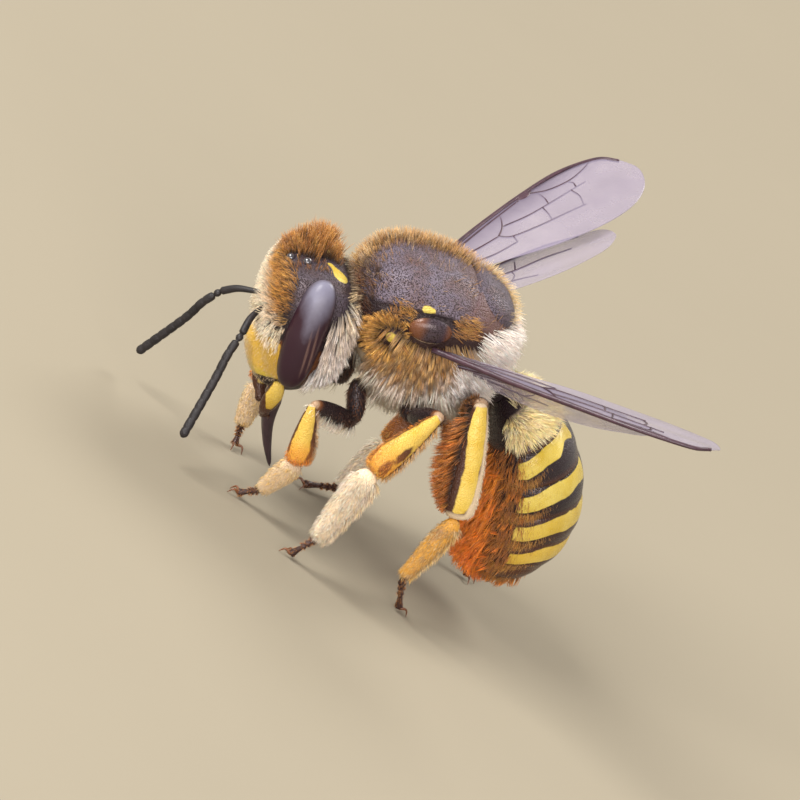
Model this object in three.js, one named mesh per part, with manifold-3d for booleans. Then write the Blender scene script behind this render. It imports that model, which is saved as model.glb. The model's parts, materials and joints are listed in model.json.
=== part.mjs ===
// A life-size wool carder bee, standing on its six feet with its wings half open.
//
// Millimetres, +Z up, the feet on the floor at Z = 0. The bee faces -X, so +X runs towards
// its tail, and +Y is its right-hand side. Head, thorax, wings and abdomen are laid out in
// the trunk's own frame, whose zero is the middle of the thorax, and the trunk is then
// tipped nose-down and lifted above the floor. The legs are laid out straight above the floor.
// Every solid reaches out to the tips of the hair that covers it.

import * as THREE from 'three';
import { mergeVertices } from 'three/addons/utils/BufferGeometryUtils.js';
import Module from 'manifold-3d';

const wasm = await Module();
wasm.setup();

// ---- Driving dimensions ------------------------------------------------------------------

const TRUNK_HEIGHT = 6.36; // middle of the thorax above the floor
const TRUNK_PITCH = THREE.MathUtils.degToRad(-19); // nose-down
const GAP = 0.05; // clearance between neighbouring solids
const LEFT = -1; // the bee's left side lies towards -Y
const RIGHT = 1;
const SIDES = [
  { name: 'left', y: LEFT },
  { name: 'right', y: RIGHT },
];

const HEAD = {
  middle: [-3.38, -0.86],
  face: 1.3,
  nape: 1.3,
  halfWidth: 2.0,
  crown: 2.5,
  chin: 2.1,
  chinNarrowing: 0.22,
};
const EYE = {
  middle: [-3.5, 1.66, -0.52],
  halfDepth: 0.62,
  halfWidth: 0.5,
  halfHeight: 1.72,
  splay: 0.12,
};
const MANDIBLE = {
  base: [-3.75, 0.95, -2.6],
  tip: [-3.5, 0.3, -3.6],
  radius: 0.36,
  flatness: 0.8,
};
const PROBOSCIS = { base: [-3.1, 0, -3.0], tip: [-2.92, 0, -5.15], radius: 0.26, bow: 0.12 };
const ANTENNA_RADIUS = 0.25;
const ANTENNAE = {
  left: {
    base: [-4.55, -0.4, -0.6],
    elbow: [-4.99, -1.1, -1.12],
    middle: [-5.42, -1.62, -2.35],
    tip: [-5.93, -2.3, -3.86],
  },
  right: {
    base: [-4.6, 0.4, -0.5],
    elbow: [-5.4, 0.9, -0.95],
    middle: [-6.0, 1.25, -2.1],
    tip: [-6.82, 1.7, -3.58],
  },
};

const THORAX = {
  front: 2.3,
  breast: 2.0,
  rear: 2.5,
  halfWidth: 2.2,
  top: 2.1,
  bottom: 2.35,
  topLean: -0.75,
};
const NECK = { from: [-2.6, 0, -0.6], to: [-1.9, 0, -0.5], radius: 0.7 };
const WAIST = { from: [1.5, 0, -1.3], to: [3.1, 0, -1.65], radius: 0.4 };
const SCUTELLUM = { middle: [1.45, 0, 1.05], half: [0.85, 1.3, 0.5], tilt: 0.55 };
const TEGULA = { middle: [-0.42, 1.95, 0.5], half: [0.5, 0.3, 0.36] };

// Wings: the hinge, then degrees of sweep away from the tail, of lift above the trunk's
// level, and of pitch, which lowers the rear edge.
const WING_THICKNESS = 0.5;
const FOREWING = { length: 8.2, chord: 2.65 };
const HINDWING = { length: 5.4, chord: 1.85 };
const WINGS = {
  forewing_left: { hinge: [-0.14, -1.95, 0.08], sweep: 40, lift: 8, pitch: 11 },
  forewing_right: { hinge: [-0.14, 1.95, 0.08], sweep: 50, lift: 18, pitch: -9 },
  hindwing_left: { hinge: [0.6, -1.95, -0.25], sweep: 22, lift: 6, pitch: 40 },
  hindwing_right: { hinge: [0.6, 1.95, -0.15], sweep: 34, lift: 20, pitch: -18 },
};

// Abdomen: back and belly lines in the trunk's X-Z plane, with the half width, from the
// waist to the tip. Six segments lie between the first seven rings and the last.
const ABDOMEN_RINGS = [
  { back: [2.6, -1.2], belly: [2.35, -1.9], halfWidth: 0.4 },
  { back: [3.5, -1.35], belly: [2.35, -2.35], halfWidth: 1.25 },
  { back: [4.4, -1.85], belly: [2.4, -3.05], halfWidth: 1.75 },
  { back: [5.15, -2.8], belly: [2.5, -3.9], halfWidth: 1.92 },
  { back: [5.58, -4.0], belly: [2.6, -4.75], halfWidth: 1.9 },
  { back: [5.5, -5.15], belly: [2.7, -5.55], halfWidth: 1.72 },
  { back: [5.0, -6.05], belly: [2.85, -6.15], halfWidth: 1.35 },
  { back: [4.3, -6.65], belly: [3.4, -6.6], halfWidth: 0.7 },
];
const ABDOMEN_CUTS = [0.05, 2, 3, 4, 5, 6, 7]; // ring numbers at which segments meet
const SEGMENT_MARGIN = 0.03; // shortening at each end, which leaves a gap between segments
const SEGMENT_FLARE = 0.025; // share by which a segment widens towards its rear edge
const TIP_ROUNDING = 0.55; // size of the last segment's end

// Legs: joints from the body to the foot, above the floor. The soles are cut off level at
// the floor, so each foot is set a little into it.
const LEGS = {
  front_left: {
    coxa: [-0.89, -0.75, 4.2],
    trochanter: [-0.3, -1.1, 3.2],
    knee: [-2.04, -2.3, 3.45],
    ankle: [-1.35, -2.3, 1.86],
    instep: [-1.57, -2.0, 0.55],
    foot: [-1.95, -1.85, 0.08],
  },
  middle_left: {
    coxa: [0.65, -0.95, 4.5],
    trochanter: [0.6, -1.7, 4.35],
    knee: [0.65, -3.2, 5.3],
    ankle: [-0.21, -3.9, 3.29],
    instep: [-0.27, -4.0, 0.95],
    foot: [-0.5, -3.8, 0.08],
  },
  hind_left: {
    coxa: [2.1, -0.95, 5.1],
    trochanter: [2.0, -1.5, 5.2],
    knee: [1.46, -2.8, 6.1],
    ankle: [2.74, -3.4, 3.19],
    instep: [2.6, -3.3, 1.0],
    foot: [3.15, -3.0, 0.08],
  },
  front_right: {
    coxa: [-0.89, 0.75, 4.2],
    trochanter: [-0.5, 1.1, 3.2],
    knee: [-2.3, 2.4, 3.4],
    ankle: [-1.95, 1.8, 1.8],
    instep: [-1.75, 1.55, 0.6],
    foot: [-1.66, 1.3, 0.08],
  },
  middle_right: {
    coxa: [0.65, 0.95, 4.5],
    trochanter: [0.9, 1.6, 4.3],
    knee: [2.6, 2.95, 4.1],
    ankle: [2.35, 2.6, 1.9],
    instep: [1.75, 1.9, 0.4],
    foot: [0.7, 1.45, 0.08],
  },
  hind_right: {
    coxa: [2.1, 0.95, 5.1],
    trochanter: [2.2, 1.5, 5.1],
    knee: [2.9, 2.9, 5.4],
    ankle: [4.6, 2.9, 2.6],
    instep: [5.6, 2.5, 0.85],
    foot: [6.2, 2.0, 0.08],
  },
};
const LEG_RADII = {
  front: { trochanter: 0.42, femur: 0.42, tibia: 0.4, basitarsus: 0.34, tarsus: 0.27 },
  middle: { trochanter: 0.42, femur: 0.42, tibia: 0.44, basitarsus: 0.42, tarsus: 0.27 },
  hind: { trochanter: 0.45, femur: 0.42, tibia: 0.52, basitarsus: 0.4, tarsus: 0.27 },
};
const LIMB_FLATNESS = 0.72; // thickness over breadth of tibia and basitarsus

// ---- Materials ---------------------------------------------------------------------------

function material(color, roughness, metalness = 0) {
  return new THREE.MeshStandardMaterial({ color, roughness, metalness });
}
const BROWN_HAIR = '#8a6238';
const DARK_SHELL = '#2a2422';
const YELLOW_SHELL = '#e0b21e';
const HEAD_COLOUR = '#5a4534';
const EYE_COLOUR = '#34202a';
const WING_COLOUR = '#7a6a76';
const PALE_HAIR = '#d8b878';
const ORANGE_HAIR = '#c87828';

// ---- Shape helpers -----------------------------------------------------------------------

const point = (xyz) => new THREE.Vector3(...xyz);

// Merges a geometry's shared corners, so that it is one closed surface.
function welded(geometry) {
  const bare = geometry.clone();
  bare.deleteAttribute('normal');
  bare.deleteAttribute('uv');
  return mergeVertices(bare, 1e-5);
}

function solidOf(geometry) {
  const closed = welded(geometry);
  return new wasm.Manifold(
    new wasm.Mesh({
      numProp: 3,
      vertProperties: new Float32Array(closed.attributes.position.array),
      triVerts: new Uint32Array(closed.index.array),
    }),
  );
}

function geometryOf(solid) {
  const mesh = solid.getMesh();
  const geometry = new THREE.BufferGeometry();
  geometry.setAttribute('position', new THREE.BufferAttribute(mesh.vertProperties, 3));
  geometry.setIndex(new THREE.BufferAttribute(mesh.triVerts, 1));
  return geometry;
}

// The same shape grown outwards by a clearance.
function grown(geometry, by) {
  const closed = welded(geometry);
  closed.computeVertexNormals();
  const at = closed.attributes.position;
  const normal = closed.attributes.normal;
  for (let i = 0; i < at.count; i += 1) {
    at.setXYZ(
      i,
      at.getX(i) + by * normal.getX(i),
      at.getY(i) + by * normal.getY(i),
      at.getZ(i) + by * normal.getZ(i),
    );
  }
  return closed;
}

// Cuts room for its neighbours out of a shape and keeps the main body of what is left.
function carved(geometry, neighbours, clearance = GAP) {
  let solid = solidOf(geometry);
  for (const neighbour of neighbours) {
    solid = solid.subtract(solidOf(grown(neighbour, clearance)));
  }
  const bodies = solid.decompose();
  bodies.sort((a, b) => b.volume() - a.volume());
  return geometryOf(bodies[0]);
}

// Moves every corner of a shape by a rule.
function warped(geometry, rule) {
  const at = geometry.attributes.position;
  const corner = new THREE.Vector3();
  for (let i = 0; i < at.count; i += 1) {
    corner.fromBufferAttribute(at, i);
    rule(corner);
    at.setXYZ(i, corner.x, corner.y, corner.z);
  }
  return geometry;
}

function ellipsoid(middle, half) {
  const ball = new THREE.SphereGeometry(1, 10, 6);
  return ball.scale(...half).translate(...middle);
}

// A lathe-turned limb from one joint to the next. The profile lists [way along, share of
// the radius]. Its broad side lies in the upright plane along the body, and it may bow.
function limb(from, to, radius, profile, flatness = 1, bow = 0, sides = 8) {
  const axis = point(to).sub(point(from));
  const length = axis.length();
  const outline = profile.map(([way, share]) => new THREE.Vector2(share * radius, way * length));
  const turned = new THREE.LatheGeometry(outline, sides);
  warped(turned, (corner) => {
    corner.z *= flatness;
    corner.x += bow * Math.sin((Math.PI * corner.y) / length);
  });
  const along = axis.clone().normalize();
  const broad = along.clone().cross(new THREE.Vector3(0, 1, 0)).normalize();
  const flat = broad.clone().cross(along);
  const place = new THREE.Matrix4().makeBasis(broad, along, flat);
  place.setPosition(...from);
  return turned.applyMatrix4(place);
}

const ROUND_ENDED = [
  [0, 0],
  [0.04, 0.65],
  [0.2, 1],
  [0.75, 1],
  [0.96, 0.65],
  [1, 0],
];
const CLUB = [
  [0, 0],
  [0.04, 0.5],
  [0.15, 0.72],
  [0.6, 1],
  [0.88, 0.95],
  [0.97, 0.62],
  [1, 0],
];
const PADDLE = [
  [0, 0],
  [0.03, 0.55],
  [0.15, 0.95],
  [0.45, 1],
  [0.8, 0.8],
  [0.96, 0.55],
  [1, 0],
];
const TOE = [
  [0, 0],
  [0.06, 0.75],
  [0.35, 0.95],
  [0.9, 1],
  [1.08, 0.75],
  [1.17, 0],
];
const BLADE = [
  [0, 0],
  [0.04, 0.8],
  [0.3, 1],
  [0.6, 0.9],
  [0.85, 0.72],
  [0.97, 0.45],
  [1, 0],
];

// ---- Parts -------------------------------------------------------------------------------

function headShape() {
  const ball = new THREE.SphereGeometry(1, 20, 14);
  return warped(ball, (u) => {
    const lower = Math.max(0, -u.z);
    u.y *= HEAD.halfWidth * (1 - HEAD.chinNarrowing * lower * lower);
    u.x = HEAD.middle[0] + u.x * (u.x < 0 ? HEAD.face : HEAD.nape);
    u.z = HEAD.middle[1] + u.z * (u.z > 0 ? HEAD.crown : HEAD.chin);
  });
}

function eyeShape(side) {
  const ball = new THREE.SphereGeometry(1, 12, 12);
  return warped(ball, (u) => {
    const height = u.z;
    u.x = EYE.middle[0] + EYE.halfDepth * u.x;
    u.y = side * (EYE.middle[1] - EYE.splay * height * height) + EYE.halfWidth * u.y;
    u.z = EYE.middle[2] + EYE.halfHeight * height;
  });
}

function thoraxShape() {
  const ball = new THREE.SphereGeometry(1, 24, 16);
  return warped(ball, (u) => {
    const upper = Math.max(0, u.z);
    const lower = Math.max(0, -u.z);
    const lean = THORAX.topLean * upper * upper;
    const front = THREE.MathUtils.lerp(THORAX.front + 0.4 * lean, THORAX.breast, lower);
    u.x = lean + u.x * (u.x < 0 ? front : THORAX.rear);
    u.y *= THORAX.halfWidth;
    u.z *= u.z > 0 ? THORAX.top : THORAX.bottom;
  });
}

function scutellumShape() {
  const shape = new THREE.SphereGeometry(1, 12, 8);
  shape.scale(...SCUTELLUM.half).rotateY(SCUTELLUM.tilt);
  return shape.translate(...SCUTELLUM.middle);
}

// A smooth curve through four neighbouring values, from the second to the third.
function smooth([before, start, end, after], share) {
  const startSlope = (end - before) / 2;
  const endSlope = (after - start) / 2;
  const rise = 3 * (end - start) - 2 * startSlope - endSlope;
  const fall = 2 * (start - end) + startSlope + endSlope;
  return start + share * (startSlope + share * (rise + share * fall));
}

// The abdomen's cross-section at any ring number, between the rings that are listed.
function abdomenRing(number) {
  const last = ABDOMEN_RINGS.length - 1;
  const first = Math.min(Math.floor(number), last - 1);
  const rings = [-1, 0, 1, 2].map((step) => ABDOMEN_RINGS[THREE.MathUtils.clamp(first + step, 0, last)]);
  const at = (read) => smooth(rings.map(read), number - first);
  return {
    back: new THREE.Vector3(at((ring) => ring.back[0]), 0, at((ring) => ring.back[1])),
    belly: new THREE.Vector3(at((ring) => ring.belly[0]), 0, at((ring) => ring.belly[1])),
    halfWidth: at((ring) => ring.halfWidth),
  };
}

// One drum of the abdomen, slightly wider at its rear edge, where it overlaps the next.
function abdomenSegment(index) {
  const start = ABDOMEN_CUTS[index] + SEGMENT_MARGIN;
  const length = ABDOMEN_CUTS[index + 1] - SEGMENT_MARGIN - start;
  const isLast = index === ABDOMEN_CUTS.length - 2;
  const drum = new THREE.CylinderGeometry(1, 1, 1, 20, index === 0 ? 5 : 3);
  return warped(drum, (u) => {
    const way = 0.5 - u.y;
    const ring = abdomenRing(start + length * way);
    const middle = ring.back.clone().add(ring.belly).multiplyScalar(0.5);
    const deep = ring.back.clone().sub(ring.belly).multiplyScalar(0.5);
    const flare = 1 + SEGMENT_FLARE * (2 * way - 1);
    const size = isLast && way === 1 ? TIP_ROUNDING * flare : flare;
    deep.multiplyScalar(u.x * size);
    u.set(middle.x + deep.x, -ring.halfWidth * u.z * size, middle.z + deep.z);
  });
}

// The wing's own axes: span towards the tip, chord towards the rear edge, and its normal.
function wingPlace(side, wing) {
  const sweep = THREE.MathUtils.degToRad(wing.sweep);
  const lift = THREE.MathUtils.degToRad(wing.lift);
  const pitch = THREE.MathUtils.degToRad(wing.pitch);
  const span = new THREE.Vector3(Math.cos(sweep), side * Math.sin(sweep), 0);
  span.multiplyScalar(Math.cos(lift)).setZ(Math.sin(lift));
  const chord = new THREE.Vector3(0, 0, -side).cross(span).normalize();
  chord.applyAxisAngle(span, side * pitch);
  const normal = span.clone().cross(chord);
  const place = new THREE.Matrix4().makeBasis(span, chord, normal);
  return place.setPosition(...wing.hinge);
}

function wingBlade(outline, side, wing) {
  const plate = new THREE.ExtrudeGeometry(outline, {
    depth: WING_THICKNESS,
    bevelEnabled: false,
    curveSegments: 5,
  });
  plate.translate(0, 0, -WING_THICKNESS / 2);
  return plate.applyMatrix4(wingPlace(side, wing));
}

function forewingOutline({ length, chord }) {
  const at = (along, back) => [along * length, back * chord];
  const outline = new THREE.Shape();
  outline.moveTo(...at(0, -0.07));
  outline.bezierCurveTo(...at(0.35, -0.12), ...at(0.75, -0.1), ...at(0.92, 0.14));
  outline.bezierCurveTo(...at(1.0, 0.3), ...at(1.01, 0.62), ...at(0.9, 0.84));
  outline.bezierCurveTo(...at(0.8, 1.02), ...at(0.7, 0.98), ...at(0.6, 0.9));
  outline.bezierCurveTo(...at(0.4, 0.72), ...at(0.2, 0.3), ...at(0, 0.11));
  outline.closePath();
  return outline;
}

function hindwingOutline({ length, chord }) {
  const at = (along, back) => [along * length, back * chord];
  const outline = new THREE.Shape();
  outline.moveTo(...at(0, -0.1));
  outline.bezierCurveTo(...at(0.3, -0.2), ...at(0.7, -0.15), ...at(0.92, 0.1));
  outline.bezierCurveTo(...at(1.05, 0.3), ...at(1.0, 0.6), ...at(0.85, 0.78));
  outline.bezierCurveTo(...at(0.6, 1.05), ...at(0.25, 0.95), ...at(0, 0.25));
  outline.closePath();
  return outline;
}

function limbChain(joints, radii) {
  const { coxa, trochanter, knee, ankle, instep, foot } = joints;
  return {
    coxa: limb(coxa, trochanter, radii.trochanter, ROUND_ENDED),
    femur: limb(trochanter, knee, radii.femur, ROUND_ENDED),
    tibia: limb(knee, ankle, radii.tibia, CLUB, LIMB_FLATNESS),
    basitarsus: limb(ankle, instep, radii.basitarsus, PADDLE, LIMB_FLATNESS),
    tarsus: limb(instep, foot, radii.tarsus, TOE),
  };
}

// ---- Assembly ----------------------------------------------------------------------------

const bee = new THREE.Group();
const trunk = new THREE.Group();
trunk.position.z = TRUNK_HEIGHT;
trunk.rotation.y = TRUNK_PITCH;
trunk.updateMatrix();
bee.add(trunk);
const legs = new THREE.Group();
bee.add(legs);

function add(group, name, geometry, look) {
  const mesh = new THREE.Mesh(geometry, look);
  mesh.name = name;
  group.add(mesh);
}

// Head.
const headWhole = headShape();
const neck = limb(NECK.from, NECK.to, NECK.radius, ROUND_ENDED, 1, 0, 12);
const proboscis = limb(PROBOSCIS.base, PROBOSCIS.tip, PROBOSCIS.radius, ROUND_ENDED, 1, PROBOSCIS.bow);
const eyes = SIDES.map(({ y }) => eyeShape(y));
const mandibles = SIDES.map(({ y }) => {
  const onSide = ([x, out, z]) => [x, y * out, z];
  return limb(onSide(MANDIBLE.base), onSide(MANDIBLE.tip), MANDIBLE.radius, BLADE, MANDIBLE.flatness);
});
const antennae = SIDES.map(({ name }) => {
  const { base, elbow, middle, tip } = ANTENNAE[name];
  return [
    [base, elbow],
    [elbow, middle],
    [middle, tip],
  ].map(([from, to]) => limb(from, to, ANTENNA_RADIUS, ROUND_ENDED));
});
const scapes = antennae.map(([scape]) => scape);
const headNeighbours = [...eyes, neck, ...mandibles, proboscis, ...scapes];
add(trunk, 'head', carved(headWhole, headNeighbours), material(HEAD_COLOUR, 0.8));
add(trunk, 'neck', neck, material(DARK_SHELL, 0.6));
add(trunk, 'proboscis', carved(proboscis, mandibles), material(DARK_SHELL, 0.4));
SIDES.forEach(({ name }, i) => {
  const [scape, flagellumBase, flagellumTip] = antennae[i];
  const feeler = material(DARK_SHELL, 0.5);
  add(trunk, `eye_${name}`, eyes[i], material(EYE_COLOUR, 0.15));
  add(trunk, `mandible_${name}`, mandibles[i], material(YELLOW_SHELL, 0.4));
  add(trunk, `antenna_${name}_scape`, scape, feeler);
  add(trunk, `antenna_${name}_flagellum_base`, carved(flagellumBase, [scape]), feeler);
  add(trunk, `antenna_${name}_flagellum_tip`, carved(flagellumTip, [flagellumBase]), feeler);
});

// Thorax, wings and abdomen.
const thoraxWhole = thoraxShape();
const scutellum = scutellumShape();
const tegulae = SIDES.map(({ y }) => {
  const [x, out, z] = TEGULA.middle;
  return ellipsoid([x, y * out, z], TEGULA.half);
});
const forewings = SIDES.map(({ name, y }) =>
  wingBlade(forewingOutline(FOREWING), y, WINGS[`forewing_${name}`]),
);
const hindwings = SIDES.map(({ name, y }) =>
  wingBlade(hindwingOutline(HINDWING), y, WINGS[`hindwing_${name}`]),
);
const abdomen = [0, 1, 2, 3, 4, 5].map(abdomenSegment);
const wings = [...forewings, ...hindwings];
const waistWhole = limb(WAIST.from, WAIST.to, WAIST.radius, ROUND_ENDED, 1, 0, 12);
const waist = carved(waistWhole, [thoraxWhole, abdomen[0], abdomen[1]]);
const thoraxNeighbours = [neck, headWhole, scutellum, ...tegulae, ...wings, abdomen[0], abdomen[1]];
add(trunk, 'thorax', carved(thoraxWhole, thoraxNeighbours), material(BROWN_HAIR, 0.85));
add(trunk, 'scutellum', scutellum, material(DARK_SHELL, 0.6));
add(trunk, 'waist', waist, material(DARK_SHELL, 0.6));
abdomen.forEach((segment, index) => {
  const colour = index === 0 ? PALE_HAIR : YELLOW_SHELL;
  add(trunk, `abdomen_${index + 1}`, segment, material(colour, 0.5));
});
SIDES.forEach(({ name }, i) => {
  const membrane = material(WING_COLOUR, 0.3);
  const hindwing = carved(hindwings[i], [forewings[i], tegulae[i]]);
  add(trunk, `tegula_${name}`, tegulae[i], material(ORANGE_HAIR, 0.25));
  add(trunk, `forewing_${name}`, carved(forewings[i], [tegulae[i]]), membrane);
  add(trunk, `hindwing_${name}`, hindwing, membrane);
});

// Legs stand in the floor's frame, so the trunk's solids are brought into it to cut them.
const inFloorFrame = (geometry) => geometry.clone().applyMatrix4(trunk.matrix);
const trunkOnFloor = [thoraxWhole, headWhole, waist, ...abdomen].map(inFloorFrame);
const underground = new THREE.BoxGeometry(30, 30, 4).translate(0, 0, -2);
for (const [name, joints] of Object.entries(LEGS)) {
  const { coxa, femur, tibia, basitarsus, tarsus } = limbChain(joints, LEG_RADII[name.split('_')[0]]);
  const toe = carved(carved(tarsus, [basitarsus]), [underground], 0);
  const dark = material(DARK_SHELL, 0.45);
  const banded = material(YELLOW_SHELL, 0.45);
  const pale = material(PALE_HAIR, 0.7);
  add(legs, `leg_${name}_coxa`, carved(coxa, trunkOnFloor), dark);
  add(legs, `leg_${name}_femur`, carved(femur, [coxa, ...trunkOnFloor]), dark);
  add(legs, `leg_${name}_tibia`, carved(tibia, [femur, ...trunkOnFloor]), banded);
  add(legs, `leg_${name}_basitarsus`, carved(basitarsus, [tibia]), pale);
  add(legs, `leg_${name}_tarsus`, toe, dark);
}

// The origin is under the middle of the whole bee, on the floor.
const reach = new THREE.Box3().setFromObject(bee, true);
const middle = reach.getCenter(new THREE.Vector3());
bee.position.set(-middle.x, -middle.y, -reach.min.z);

export default bee;
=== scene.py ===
# %% [markdown]
# # A wool carder bee, life size
#
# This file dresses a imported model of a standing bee: one skin under a coat of separate
# hairs, glossy eyes, jointed feelers, thin veined wings and six banded legs.
# Lengths are written in millimetres, because a bee is about 12 of them long, and one matrix
# turns them into Blender's metres at the end of each step.
# The bee faces -X, +Y is its right-hand side and +Z is up.

# %% Load the frame
import json
import math

import bmesh
import bpy
import numpy as np
from mathutils import Matrix, Vector

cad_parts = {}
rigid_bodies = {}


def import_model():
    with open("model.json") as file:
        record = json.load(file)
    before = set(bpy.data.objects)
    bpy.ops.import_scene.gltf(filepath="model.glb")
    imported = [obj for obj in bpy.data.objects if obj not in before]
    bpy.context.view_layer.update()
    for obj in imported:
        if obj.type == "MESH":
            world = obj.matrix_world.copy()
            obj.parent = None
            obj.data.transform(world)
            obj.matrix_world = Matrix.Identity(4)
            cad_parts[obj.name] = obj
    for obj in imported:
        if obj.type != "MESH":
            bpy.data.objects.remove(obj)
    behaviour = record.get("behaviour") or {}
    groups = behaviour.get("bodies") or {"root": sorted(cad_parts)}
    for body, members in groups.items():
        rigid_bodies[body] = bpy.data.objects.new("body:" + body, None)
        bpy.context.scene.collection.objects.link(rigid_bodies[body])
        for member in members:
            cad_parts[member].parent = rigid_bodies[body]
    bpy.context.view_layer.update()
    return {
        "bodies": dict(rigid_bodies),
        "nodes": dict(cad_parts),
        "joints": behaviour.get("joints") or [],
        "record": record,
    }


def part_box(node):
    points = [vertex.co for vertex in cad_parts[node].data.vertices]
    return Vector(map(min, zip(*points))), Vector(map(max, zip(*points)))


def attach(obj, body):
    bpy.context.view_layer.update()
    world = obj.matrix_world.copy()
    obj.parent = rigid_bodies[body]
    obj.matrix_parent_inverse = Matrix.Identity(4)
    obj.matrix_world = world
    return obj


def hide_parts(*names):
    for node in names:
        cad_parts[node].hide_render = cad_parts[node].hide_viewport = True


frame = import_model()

# %% [markdown]
# ## Two frames
#
# The trunk (head, thorax, wings and abdomen) is easiest to describe lying level, with its
# zero in the middle of the thorax. On the real bee it is tipped nose-down on its legs, so a
# matrix does the tipping. The legs are described straight above the floor.
# The frame says where both are: a wing cap, or tegula, is a plain ball on each side, so its
# middle tells how far the whole bee was moved sideways.

# %% Trunk and floor matrices
MM = 0.001
TRUNK_HEIGHT = 6.36
TRUNK_PITCH = math.radians(-19)
TEGULA_MIDDLE = Vector((-0.42, 1.95, 0.5))
SIDES = {"left": -1, "right": 1}


def box_middle(node):
    low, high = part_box(node)
    return (low + high) / 2 / MM


tip_down = Matrix.Rotation(TRUNK_PITCH, 4, "Y")
between_caps = (box_middle("tegula_left") + box_middle("tegula_right")) / 2
shift = between_caps - tip_down @ (TEGULA_MIDDLE * Vector((1, 0, 1)))
FLOOR = Matrix.Scale(MM, 4) @ Matrix.Translation((shift.x, shift.y, 0))
TRUNK = FLOOR @ Matrix.Translation((0, 0, TRUNK_HEIGHT)) @ tip_down
print("the bee stands", round(shift.x, 3), round(shift.y, 3), "mm off its own middle")

# %% [markdown]
# ## Camera, light and floor
#
# The camera looks at the bee's left side from a little in front and above, and is rolled, so
# that the bee stands tilted in the picture as it would on a curved perch. A long lens from
# 300 mm away keeps a thing this small free of distortion.

# %% Camera
VIEW_RIGHT = Vector((0.79599, -0.12, 0.5933))
VIEW_UP = Vector((-0.48909, 0.45, 0.74719))
VIEW_BACK = VIEW_RIGHT.cross(VIEW_UP).normalized()
AIM_LEFT, AIM_DOWN = 0.79, 2.1
FRAME_WIDTH = 21.05
CAMERA_DISTANCE = 300.0
SENSOR = 36.0
scene = bpy.context.scene


def posed(middle, right, up, back):
    turn = Matrix((right, up, back)).transposed().to_4x4()
    return Matrix.Translation(middle) @ turn


aim = FLOOR @ Vector((0, 0, TRUNK_HEIGHT)) - (AIM_LEFT * VIEW_RIGHT + AIM_DOWN * VIEW_UP) * MM
camera = bpy.data.objects.new("camera", bpy.data.cameras.new("camera"))
camera.data.sensor_width = SENSOR
camera.data.lens = SENSOR * CAMERA_DISTANCE / FRAME_WIDTH
camera.data.clip_start = 0.01
camera.data.clip_end = 10
camera.matrix_world = posed(aim + VIEW_BACK * CAMERA_DISTANCE * MM, VIEW_RIGHT, VIEW_UP, VIEW_BACK)
scene.collection.objects.link(camera)
scene.camera = camera
print("camera lens", round(camera.data.lens), "mm")

# %% [markdown]
# A bee is lit like any small museum piece: a soft light high on the camera's side, two
# from beside the camera that open the shadows, and a rim light behind, in a pale surround.
# The plain view transform keeps its yellow as strong as it is.

# %% Lights
LIGHTS = {  # way towards the light (right, up, back), distance, size, power, colour
    "key": ((-0.25, 1, 0.65), 0.25, 0.14, 0.86, (1.0, 0.98, 0.95)),
    "fill": ((-0.25, -0.1, 1), 0.3, 0.25, 0.8, (1.0, 0.96, 0.95)),
    "low": ((0.3, -0.18, 1), 0.3, 0.14, 0.4, (1.0, 0.94, 0.93)),
    "rim": ((1, 0.8, -0.5), 0.25, 0.12, 0.4, (1.0, 0.97, 0.92)),
}
for name, ((right, up, back), distance, size, power, colour) in LIGHTS.items():
    toward = right * VIEW_RIGHT + up * VIEW_UP + back * VIEW_BACK
    light = bpy.data.objects.new(name, bpy.data.lights.new(name, "AREA"))
    light.data.shape = "DISK"
    light.data.size = size
    light.data.energy = power
    light.data.color = colour
    turn = toward.to_track_quat("Z", "Y").to_matrix().to_4x4()
    light.matrix_world = Matrix.Translation(aim + toward.normalized() * distance) @ turn
    scene.collection.objects.link(light)

surround = bpy.data.worlds.new("surround")
surround.use_nodes = True
sky = surround.node_tree.nodes["Background"].inputs
sky["Color"].default_value = (0.87, 0.82, 0.77, 1)
sky["Strength"].default_value = 0.73
scene.world = surround
scene.view_settings.view_transform = "Standard"
print(len(LIGHTS), "soft lights and a pale surround")

# %% [markdown]
# ## Finishes
#
# A bee's shell is chitin: dark or yellow, a little glossy and pricked all over with pits a
# twentieth of a millimetre wide. Pits and blotches turn up in nearly every finish, so they
# are one node group with two outputs, and each material uses them in its own strength.

# %% Node helpers and the shell grain group
GRAIN = 1 / MM


def add_node(tree, kind, inputs=None, **settings):
    node = tree.nodes.new(kind)
    for name, value in settings.items():
        setattr(node, name, value)
    for socket, value in (inputs or {}).items():
        if isinstance(value, bpy.types.NodeSocket):
            tree.links.new(value, node.inputs[socket])
        else:
            node.inputs[socket].default_value = value
    return node


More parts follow.
